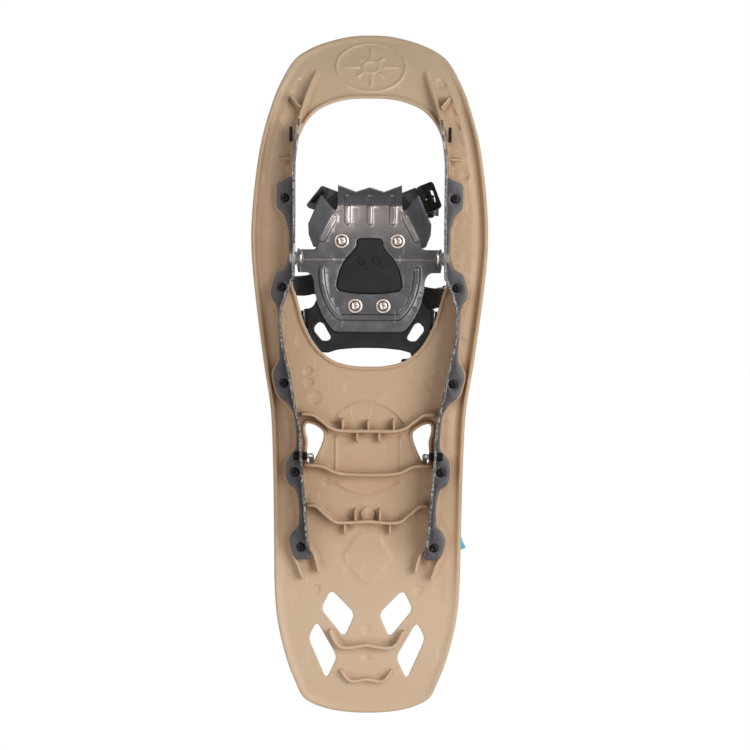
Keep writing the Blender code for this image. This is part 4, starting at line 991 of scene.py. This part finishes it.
def crampon_plate(mat):
    """Flat steel with its beads pressed in, then folded: front claw, two side fins, two ears."""
    corners = both_sides(PLATE_HALF)
    outline = divided(corners, 1.8)
    window = even(rounded(both_sides(WINDOW_HALF), 1.5, 3), 1.5, True)
    ear_hole = EAR_X + PLATE_LOW - PIVOT[1]
    holes = [window] + [circle(x, y, 2.7) for x, y in BASE_RIVETS]
    holes += [circle(side * ear_hole, PIVOT[0], 4.1) for side in (1, -1)]
    beads = plate_beads()
    lines = bend_lines((-27, CLAW_Y), (27, CLAW_Y), (0, -1), CLAW_ANGLE)
    for side in (1, -1):
        foot, rear, out = mirrored([FIN_AT, (43.1, -104.4), FIN_OUT], side)
        lines += bend_lines(foot, rear, out, FIN_ANGLE)
        lines += bend_lines((side * EAR_X, -103.5), (side * EAR_X, -83.5), (side, 0), 90)
    for line, half, _ in beads:
        lines += [(band(line, half - d), True) for d in (0.0, 0.35, 0.65, 0.95, BEAD_WALL) if half > d + 0.1]
    lines += rings(window, -0.25, -0.5)
    grid = np.array([(x, y) for x in np.arange(-84, 85, 4.0) for y in np.arange(-172, -34, 4.0)])
    grid = grid[inside(grid, outline)]
    grid = grid[distance(grid, outline, reach=3)[0] > 1]

    def pressed(points):
        z = np.zeros(len(points))
        for line, half, depth in beads:
            gap = distance(points, line, closed=False, reach=4)[0]
            z = np.minimum(z, -depth * (1 - smooth(ramp(gap, max(0, half - BEAD_WALL), half))))
        edge = np.minimum(distance(points, corners, reach=2)[0], distance(points, window, reach=2)[0])
        return z, 0.35 * bevel(edge, 0.5)

    def low(points):
        z, worn = pressed(points)
        return PLATE_LOW + z + worn

    def high(points):
        z, worn = pressed(points)
        return PLATE_TOP + z - worn

    flat, faces = sheet(outline, low, high, holes, lines, grid)
    x, y = flat[:, 0], flat[:, 1]
    verts = fold(flat, (abs(x) < 26.9) & (y < -137), (0, CLAW_Y), (-1, 0), -CLAW_ANGLE, PLATE_LOW)
    for side in (1, -1):
        fin = (side * x > 26.4) & (y < -103.7) & ~((side * x < 27.3) & (y < -135.2))
        along = FIN_ALONG if side == 1 else (FIN_ALONG[0], -FIN_ALONG[1])
        verts = fold(verts, fin, mirrored([FIN_AT], side)[0], along, -FIN_ANGLE, PLATE_LOW)
        ear = (side * x > EAR_X - 2) & (y > -103.9)
        verts = fold(verts, ear, (side * EAR_X, 0), (0, -side), -90, PLATE_LOW)
    add_mesh("crampon_plate", "_pressed", verts, faces, mat, sharp=58)


def base_rivet(node, x, y, mat):
    """A dished head below, a plain one above the base."""
    top = BASE_TOP - RIVET_LOW + 0.3
    profile = [(-0.5, SLIVER), (-0.5, 1.3), (-1.6, 1.5), (-1.8, 1.9), (-1.8, 2.6), (-1.5, 3.1), (-0.9, 3.3),
               (-0.2, 3.3), (-0.2, 2.3), (top, 2.3), (top, 4.1), (top + 0.2, 4.2), (top + 0.6, 3.9),
               (top + 0.9, 3.2), (top + 1.1, 1.6), (top + 1.1, SLIVER)]
    turned_piece(node, profile, (x, y, RIVET_LOW), mat, count=36)


def base_washer(node, x, y, mat):
    profile = [(0.5, 2.7), (0.5, 3.9), (0.35, 4.15), (0.0, 4.3), (0.0, 5.4), (0.15, 5.75), (0.5, 5.9),
               (1.0, 5.9), (1.0, 2.7)]
    turned_piece(node, profile, (x, y, RIVET_LOW), mat, count=44, ring=True)


def snow_pad(mat):
    """The rubber plug in the plate's window, crowned, with a soft edge."""
    outline = even(rounded(shrink(both_sides(WINDOW_HALF), 0.5), 1.5, 3), 1.4, True)

    def edge_of(points):
        return distance(points, outline, reach=12)[0]

    def low(points):
        edge = edge_of(points)
        return PLATE_LOW - 0.3 - 0.5 * smooth(ramp(edge, 0, 11)) + 0.9 * bevel(edge, 1.0)

    def high(points):
        return PLATE_TOP - 0.1 - 0.5 * bevel(edge_of(points), 1.0)

    grid = grid_inside(outline, np.arange(-26, 27, 2.6), np.arange(-111, -67, 2.6), 1.6)
    holes = [circle(x, y, 1.9) for x, y in PAD_STUDS]
    body = sheet(outline, low, high, holes, rings(outline, 0.25, 0.55, 1.0), grid)
    add_mesh("anti_snow_pad", "_crowned", *body, mat, sharp=50)


def pad_stud(node, x, y, mat):
    low = PLATE_LOW - 0.9
    top = BASE_TOP - low + 0.3
    profile = [(-0.3, SLIVER), (-0.3, 1.7), (-0.8, 2.1), (-0.9, 2.6), (-0.8, 3.1), (-0.4, 3.45), (0, 3.5),
               (0, 1.6), (top, 1.6), (top, 2.7), (top + 0.3, 2.8), (top + 0.7, 2.4), (top + 0.9, 1.4),
               (top + 0.9, SLIVER)]
    turned_piece(node, profile, (x, y, low), mat)


# ---------------------------------------------------------------- binding base
WING_FOOT, WING_ALONG = (25.0, -149.0), (0.75, 0.662)
WING_ANGLE = {1: 22.0, -1: 57.0}  # the right wing lies flatter than the left one
WING_TIPS = {1: [(50.9, -160.9), (52.9, -159.9), (59.8, -139.3), (49.2, -133.7)],
             -1: [(46, -163.7), (56.7, -143.8)]}
SLOT_AT = {1: (12.5, 13.0), -1: (14.8, 15.0)}  # along the wing's foot and out from it
WING_EYE = [(49.7, -153.4), (52.4, -154.1), (55.3, -143.4), (52.6, -142.7)]
LUG_X = 50.5
HEEL = (-46.0, 52.0)
BASE_FRONT = [(0, -145), (22, -147), WING_FOOT]
BASE_REAR = [(42, -134), (43.5, -108), (45.5, -100), (45.5, -84), (42.5, -74), (42.5, -64), (46, -56),
             (LUG_X, -54), (69, -54), (73, -50), (73, -42), (69, -38), (LUG_X, -38), (49.5, -30), (45, -23)]
# the right arm ends in a short tab turned inwards
BASE_HEEL = {1: [(44, -16), (41.5, -10.6), (38.5, -9.6), (26.5, -9.6), (26.5, -13.6), (34.6, -13.6),
                 (35, -18.2)],
             -1: [(40, -18.6), (34, -17.8)]}
BASE_TAIL = [(26, -20.6), (12, -22), (0, -22.2)]
BASE_SLOT = [(45, -39.5), (41, -43.5), (37.5, -42), (31, -30.5), (33.5, -28), (38.5, -28), (45, -36)]
STRAP_Y = {1: -65.0, -1: -74.0}  # where the instep strap stands up beside the foot
STRAP_FOOT = {1: [(31, -68.5), (42, -65.5), (53, -63.8), (62, -64.2)],
              -1: [(31, -81), (42, -76.5), (53, -73.2), (62, -73.4)]}
STRAP_RIVET = {1: (36, -67.0), -1: (-36, -79.0)}
GRIP_BARS = [(17, -138), (19, -131.5), (21, -125), (21, -118.5), (14, -84), (19, -77.5), (19, -71),
             (14, -64.5)]
BASE_BEND = 2.0  # inner radius of the folds


def wing_flat(along, out):
    a = np.array(WING_ALONG)
    return np.array(WING_FOOT) + a * along + np.array([a[1], -a[0]]) * out


def wing_place(side, along, out, above):
    """A point of the folded wing: along its foot, up its face, and off its inner face."""
    a = np.array([*WING_ALONG, 0.0])
    n = np.array([a[1], -a[0], 0.0])
    angle = math.radians(WING_ANGLE[side])
    face = n * math.cos(angle) + np.array([0, 0, math.sin(angle)])
    inward = -n * math.sin(angle) + np.array([0, 0, math.cos(angle)])
    p = np.array([*WING_FOOT, BASE_TOP]) + a * along + face * out + inward * above
    return (side * p[0], p[1], p[2])


def binding_base(mat):
    """The moulded platform: a raised border below, grip bars above, wings and lugs folded up."""
    right, left = (BASE_FRONT + WING_TIPS[side] + BASE_REAR + BASE_HEEL[side] + BASE_TAIL for side in (1, -1))
    outline = even(rounded(right + mirrored([p for p in left[::-1] if p[0]], -1), 2.2, 4), 1.8, True)
    slot_dir, slot_out = np.array([0.62, 0.785]), np.array([0.785, -0.62])
    holes = [circle(x, y, 2.7) for x, y in BASE_RIVETS] + [circle(x, y, 1.9, 20) for x, y in PAD_STUDS]
    eyes = [rounded(WING_EYE, 0.9, 3)]
    bars = [[(-half, y), (half, y)] for half, y in GRIP_BARS]
    lines = [(band(bar, h), True) for bar in bars for h in (0.8, 1.1, 1.5)]
    lines += rings(outline, 0.25, 0.6, 2.2, 2.9)
    for side in (1, -1):
        slot = [wing_flat(*SLOT_AT[side]) + slot_dir * a + slot_out * b
                for a, b in ((-6.9, -2.2), (6.9, -2.2), (6.9, 2.2), (-6.9, 2.2))]
        eyes += [mirrored(rounded(BASE_SLOT, 1.5, 4), side), mirrored(rounded(slot, 0.8, 3), side)]
        holes.append(circle(side * (LUG_X + HEEL[1] - BASE_TOP), HEEL[0], 2.7))
        holes.append(circle(*STRAP_RIVET[side], 1.9, 20))
        foot, rear, out = mirrored([WING_FOOT, (42, -134), (WING_ALONG[1], -WING_ALONG[0])], side)
        lines += bend_lines(foot, rear, out, WING_ANGLE[side], BASE_BEND)
        lines += bend_lines((side * LUG_X, -54.5), (side * LUG_X, -37.5), (side, 0), 90, BASE_BEND)
    eyes = [even(e, 0.9, True) for e in eyes]
    for eye in eyes:
        lines += rings(eye, -0.25, -0.6, -1.6, -2.2)

    def edge_of(points):
        return np.minimum.reduce([distance(points, line, reach=5)[0] for line in [outline] + eyes])

    def low(points):
        edge = edge_of(points)
        return BASE_LOW + 0.35 * smooth(ramp(edge, 1.9, 2.8)) + 0.55 * bevel(edge, 0.6)

    def high(points):
        z = BASE_TOP - 0.6 * bevel(edge_of(points), 0.6)
        for bar in bars:
            z += 0.8 * (1 - smooth(ramp(distance(points, bar, closed=False, reach=3)[0], 0.8, 1.5)))
        return z

    grid = grid_inside(outline, np.arange(-72, 73, 4.0), np.arange(-160, -18, 4.0), 3.4)
    verts, faces = sheet(outline, low, high, holes + eyes, lines, grid)
    x, y = verts[:, 0], verts[:, 1]
    for side in (1, -1):
        wing, lug = (side * x > 24) & (y < -133.2), (side * x > LUG_X - 3) & (y > -54.3) & (y < -37.7)
        foot, along = mirrored([WING_FOOT], side)[0], (-WING_ALONG[0], -side * WING_ALONG[1])
        verts = fold(verts, wing, foot, along, WING_ANGLE[side], BASE_TOP, BASE_BEND)
        verts = fold(verts, lug, (side * LUG_X, 0), (0, -side), 90, BASE_TOP, BASE_BEND)
    add_mesh("binding_base", "_moulded", verts, faces, mat, sharp=40)


# ---------------------------------------------------------------- straps
STRAP_STEP = 1.6


def ribbed(width, thick, ridges, depth=0.22):
    """A strap's cross-section: round edges and fine ridges on both faces."""
    half, t = width / 2, thick / 2
    count = ridges * 4
    across = np.linspace(-half + t, half - t, count + 1)
    face = [(u, t - depth + depth * math.cos(2 * math.pi * k / 4)) for k, u in enumerate(across)]
    edge = [(half - t + t * math.sin(a), t * math.cos(a) * 0.9) for a in np.linspace(0.5, math.pi - 0.5, 5)]
    return face + edge + [(-u, -v) for u, v in face] + [(-u, -v) for u, v in edge]


def strap_piece(node, path, wides, width, thick, ridges, mat):
    fine = even(spline([(*p, *w) for p, w in zip(path, wides)], STRAP_STEP / 3), STRAP_STEP)
    body = along_path([f[:3] for f in fine], [f[3:] for f in fine], ribbed(width, thick, ridges))
    add_mesh(node, "_ribbed", *body, mat, sharp=50)


def over_the_foot(half_of, middle):
    """A strap's points or directions, given each side's half from its foot up and the middle one."""
    return half_of(1) + [middle] + half_of(-1)[::-1]


def toe_strap(mat):
    def half(side):
        top = [(42.5, -142.5, 58), (43, -141, 64), (43, -141, 82), (38, -140.5, 92), (22, -140, 100)]
        return [wing_place(side, *SLOT_AT[side], above) for above in (-6.0, -1.75, 2.6)] + mirrored(top, side)

    def half_wides(side):
        return mirrored([(0.62, 0.785, 0)] * 3 + [(0.2, 1, 0)] + [(0, 1, 0)] * 4, side)

    path, wides = over_the_foot(half, (0, -140, 102.5)), over_the_foot(half_wides, (0, 1, 0))
    strap_piece("toe_strap", path, wides, 12, 2.0, 7, mat)


def instep_strap(mat):
    def half(side):
        foot = [(*p, z) for p, z in zip(STRAP_FOOT[side], (BASE_TOP + 1.3, BASE_TOP + 1.5, 42, 50))]
        y = STRAP_Y[side]
        return mirrored(foot + [(64, y, 60), (64, y, 82), (59, y - 1, 96), (40, -69 + side * 7, 109)], side)

    def half_wides(side):
        return mirrored([(-0.45, 0.89, 0)] * 3 + [(-0.2, 0.97, 0)] + [(0, 1, 0)] * 4, side)

    path, wides = over_the_foot(half, (0, -69, 115)), over_the_foot(half_wides, (0, 1, 0))
    strap_piece("instep_strap", path, wides, 16.5, 2.0, 11, mat)


def strap_rivet(side, word, mat):
    top = BASE_TOP - BASE_LOW
    profile = [(0, SLIVER), (0, 1.6), (top + 2.5, 1.6), (top + 2.5, 3.1), (top + 2.7, 3.2), (top + 3.1, 2.9),
               (top + 3.4, 2.2), (top + 3.5, SLIVER)]
    turned_piece(f"instep_rivet_{word}", profile, (*STRAP_RIVET[side], BASE_LOW + 0.3), mat)


HEEL_PATH = [(55.4, -53), (55.4, -46), (55.4, 0), (55.4, 50), (55.4, 64), (55.4, 78), (52.8, 97), (45, 112),
             (31, 124.5), (12, 131.4), (0, 132)]
HEEL_Z = 51.5
TAIL_PATH = [(58.2, 54, HEEL_Z), (58.2, 66, HEEL_Z), (58.3, 78, HEEL_Z), (59.8, 94, 49), (63, 110, 44),
             (67, 123.4, 40)]
TAIL_WIDE = [(0, 0, 1), (0, 0, 1), (0, 0, 1), (0.35, -0.15, 0.9), (0.7, -0.35, 0.5), (0.9, -0.42, 0.12)]
GRIP_PATH = [(67.6, 125.0, 39.7), (72.0, 134.5, 38.2), (79.2, 142.6, 36.9)]


def heel_strap(mat):
    half = HEEL_PATH[:1] + spline([p for p in HEEL_PATH if p[1] > -50], 4)
    path = [(x, y, HEEL_Z) for x, y in half + mirrored(half[-2::-1], -1)]
    strap_piece("heel_strap", path, [(0, 0, 1)] * len(path), 17, 2.0, 10, mat)


def heel_rivet(side, word, mat):
    profile = [(0, SLIVER), (0, 2.0), (0.2, 3.4), (0.8, 4.5), (1.3, 4.6), (1.5, 4.4), (1.5, 2.35),
               (8.3, 2.35), (8.3, 4.4), (8.8, 4.4), (9.3, 4.0), (9.7, 3.0), (9.8, 1.5), (9.3, 1.2),
               (9.3, SLIVER)]
    place = (side * (LUG_X - 1.9), *HEEL)
    turned_piece(f"heel_rivet_{word}", profile, place, mat, axis=(side, 0, 0), count=36)


def tail_grip(mat):
    """The coloured grip on the strap's free end, with finger ridges and a rounded tip."""
    wide, up = np.array([0.915, -0.4, 0.04]), np.array([0.05, 0.1, 0.99])
    fine = even(spline(GRIP_PATH, 0.4), 0.55)
    sections = []
    for i, p in enumerate(fine):
        t = i / (len(fine) - 1)
        half = 6.0 * (1 - 0.54 * smooth((t - 0.35) / 0.65)) * (1 - 0.35 * smooth((t - 0.93) / 0.07))
        thick = (1.5 - 0.5 * smooth((t - 0.9) / 0.1)) * (1 - 0.12 * math.cos(2 * math.pi * t * 7))
        section = []
        for k in range(20):
            a = 2 * math.pi * (k + 0.5) / 20
            u = math.copysign(abs(math.cos(a)) ** 0.45, math.cos(a)) * half
            v = math.copysign(abs(math.sin(a)) ** 0.6, math.sin(a)) * thick
            section.append(np.array(p) + wide * u + up * v)
        sections.append(section)
    add_mesh("heel_strap_grip", "_moulded", *sweep(sections), mat, sharp=50)


# ---------------------------------------------------------------- heel lifter
LIFT_Z = LIFT[1] + 21.9
BAR_Y, BAR_Z = 118.0, 38.6
WIRE = 2.1
REST_LONG, REST_RADIUS = 44.0, 4.4


def lifter_bail(mat):
    half = [(60.5, *LIFT), (49.4, *LIFT), (47.4, LIFT[0], LIFT[1] + 0.6), (46.6, LIFT[0], LIFT[1] + 2.4),
            (46.6, LIFT[0], LIFT_Z - 2.5), (46.6, LIFT[0] + 0.8, LIFT_Z - 0.7), (46.6, LIFT[0] + 2.6, LIFT_Z),
            (45.8, 90, LIFT_Z + 0.3), (43, 106, LIFT_Z + 1.4), (38, 114, BAR_Z - 0.3), (31, 117.6, BAR_Z),
            (26, BAR_Y, BAR_Z), (0, BAR_Y, BAR_Z)]
    path = even(spline(half + mirrored(half[-2::-1], -1), 0.4), 1.0)
    add_mesh("lifter_bail", "_bent", *tube(path, WIRE), mat)


def heel_rest(mat):
    """The sleeve on the bail's crossbar, ringed for grip."""
    full, root, end = REST_RADIUS, REST_RADIUS - 0.4, REST_LONG
    profile = [(0, WIRE + 0.35), (0, 3.4), (0.4, 3.9), (1.0, full)]
    for k in range(10):
        start = 3.0 + 4.0 * k
        profile += [(start - 0.5, full), (start, root), (start + 0.9, root), (start + 1.4, full)]
    profile += [(end - 1.0, full), (end - 0.4, 3.9), (end, 3.4), (end, WIRE + 0.35)]
    body = turned(profile, (-end / 2, BAR_Y, BAR_Z), (1, 0, 0), 36, ring=True)
    add_mesh("heel_rest", "_ringed", *body, mat, sharp=30)


# ---------------------------------------------------------------- the setting
def area_light(name, place, aim, size, power, colour=(1, 1, 1), glint=False):
    data = bpy.data.lights.new(name, "AREA")
    data.size = size
    data.energy = power
    data.color = colour
    obj = bpy.data.objects.new(name, data)
    bpy.context.collection.objects.link(obj)
    obj.location = place
    obj.rotation_euler = (Vector(aim) - Vector(place)).to_track_quat("-Z", "Y").to_euler()
    obj.visible_diffuse = not glint


def setting():
    camera = bpy.data.objects.new("camera", bpy.data.cameras.new("camera"))
    bpy.context.collection.objects.link(camera)
    camera.data.sensor_width = 36
    camera.data.lens = 140.5
    lean, x, y, z = 0.0075, 0.0052, CENTRE[1] * MM, -2.374  # straight up at the sole, a little askew
    camera.matrix_world = Matrix([(1, -lean, 0, x), (-lean, -1, 0, y), (0, 0, -1, z), (0, 0, 0, 1)])
    bpy.context.scene.camera = camera

    bpy.ops.mesh.primitive_plane_add(size=4)
    floor = bpy.context.object
    floor.name = "floor"
    floor.data.materials.append(floor_material())
    floor.visible_shadow = floor.visible_diffuse = floor.visible_glossy = False

    area_light("key_below", (1.15, -0.1, -1.35), (0, 0, 0.02), 1.2, 22)
    area_light("glint_right", (0.7, -0.9, -0.9), (0, -0.09, 0.02), 0.4, 7, glint=True)
    area_light("glint_left", (-0.8, -0.7, -0.9), (0, -0.09, 0.02), 0.3, 5, glint=True)
    area_light("fill_below", (-0.9, 0.9, -1.5), (0, 0, 0.02), 1.4, 8, (1.0, 0.94, 0.88))
    area_light("key_above", (0.9, -0.8, 1.6), (0, 0, 0.02), 0.8, 26)
    area_light("fill_above", (-1.2, -0.6, 1.2), (0, 0, 0.02), 1.4, 9)
    world = bpy.data.worlds.new("pale")
    bpy.context.scene.world = world
    world.use_nodes = True
    tree = world.node_tree
    backdrop = tree.nodes["Background"]
    backdrop.inputs["Color"].default_value = (1, 1, 1, 1)
    seen = add_node(tree, "ShaderNodeLightPath", "Is Camera Ray", {})
    glossy = seen.node.outputs["Is Glossy Ray"]
    ambient = add_node(tree, "ShaderNodeMapRange", "Result", {"To Min": 0.30, "Value": seen})
    strength = add_node(tree, "ShaderNodeMath", 0, {0: glossy, 1: 0.15, 2: ambient},
                        operation="MULTIPLY_ADD")
    tree.links.new(strength, backdrop.inputs["Strength"])
    bpy.context.scene.view_settings.view_transform = "Standard"


def build():
    steel, zinc, black, rubber, webbing = (rail_material(), zinc_material(), black_plastic_material(),
                                           rubber_material(), strap_material())
    screw_black, washer_zinc = screw_material(), washer_material()
    deck()
    for side, word in ((-1, "left"), (1, "right")):
        rail(side, word, steel)
        for number, (x, y) in enumerate(mirrored(RAIL_SCREWS, side), 1):
            rail_screw(f"rail_screw_{word}_{number}", x, y, screw_black)
        refined(f"rail_pin_{word}", 0.4, screw_black)
        pivot_rivet(side, word, zinc)
        lifter_clip(side, word, black)
        heel_rivet(side, word, zinc)
        strap_rivet(side, word, black)
    crampon_plate(crampon_material())
    for number, (x, y) in enumerate(BASE_RIVETS, 1):
        base_rivet(f"base_rivet_{number}", x, y, zinc)
        base_washer(f"base_washer_{number}", x, y, washer_zinc)
    snow_pad(rubber)
    for number, (x, y) in enumerate(PAD_STUDS, 1):
        pad_stud(f"pad_stud_{number}", x, y, rubber)
    binding_base(black)
    toe_strap(webbing)
    instep_strap(webbing)
    heel_strap(webbing)
    strap_piece("heel_strap_tail", TAIL_PATH, TAIL_WIDE, 13, 1.6, 8, webbing)
    tail_grip(cyan_material())
    for node in ("toe_buckle", "toe_lever", "instep_buckle", "instep_lever", "instep_keeper", "heel_buckle"):
        refined(node, 0.45, black)
    for node in ("toe_buckle_pin", "instep_buckle_pin"):
        refined(node, 0.2, zinc)
    lifter_bail(wire_material())
    heel_rest(black)


build()
setting()
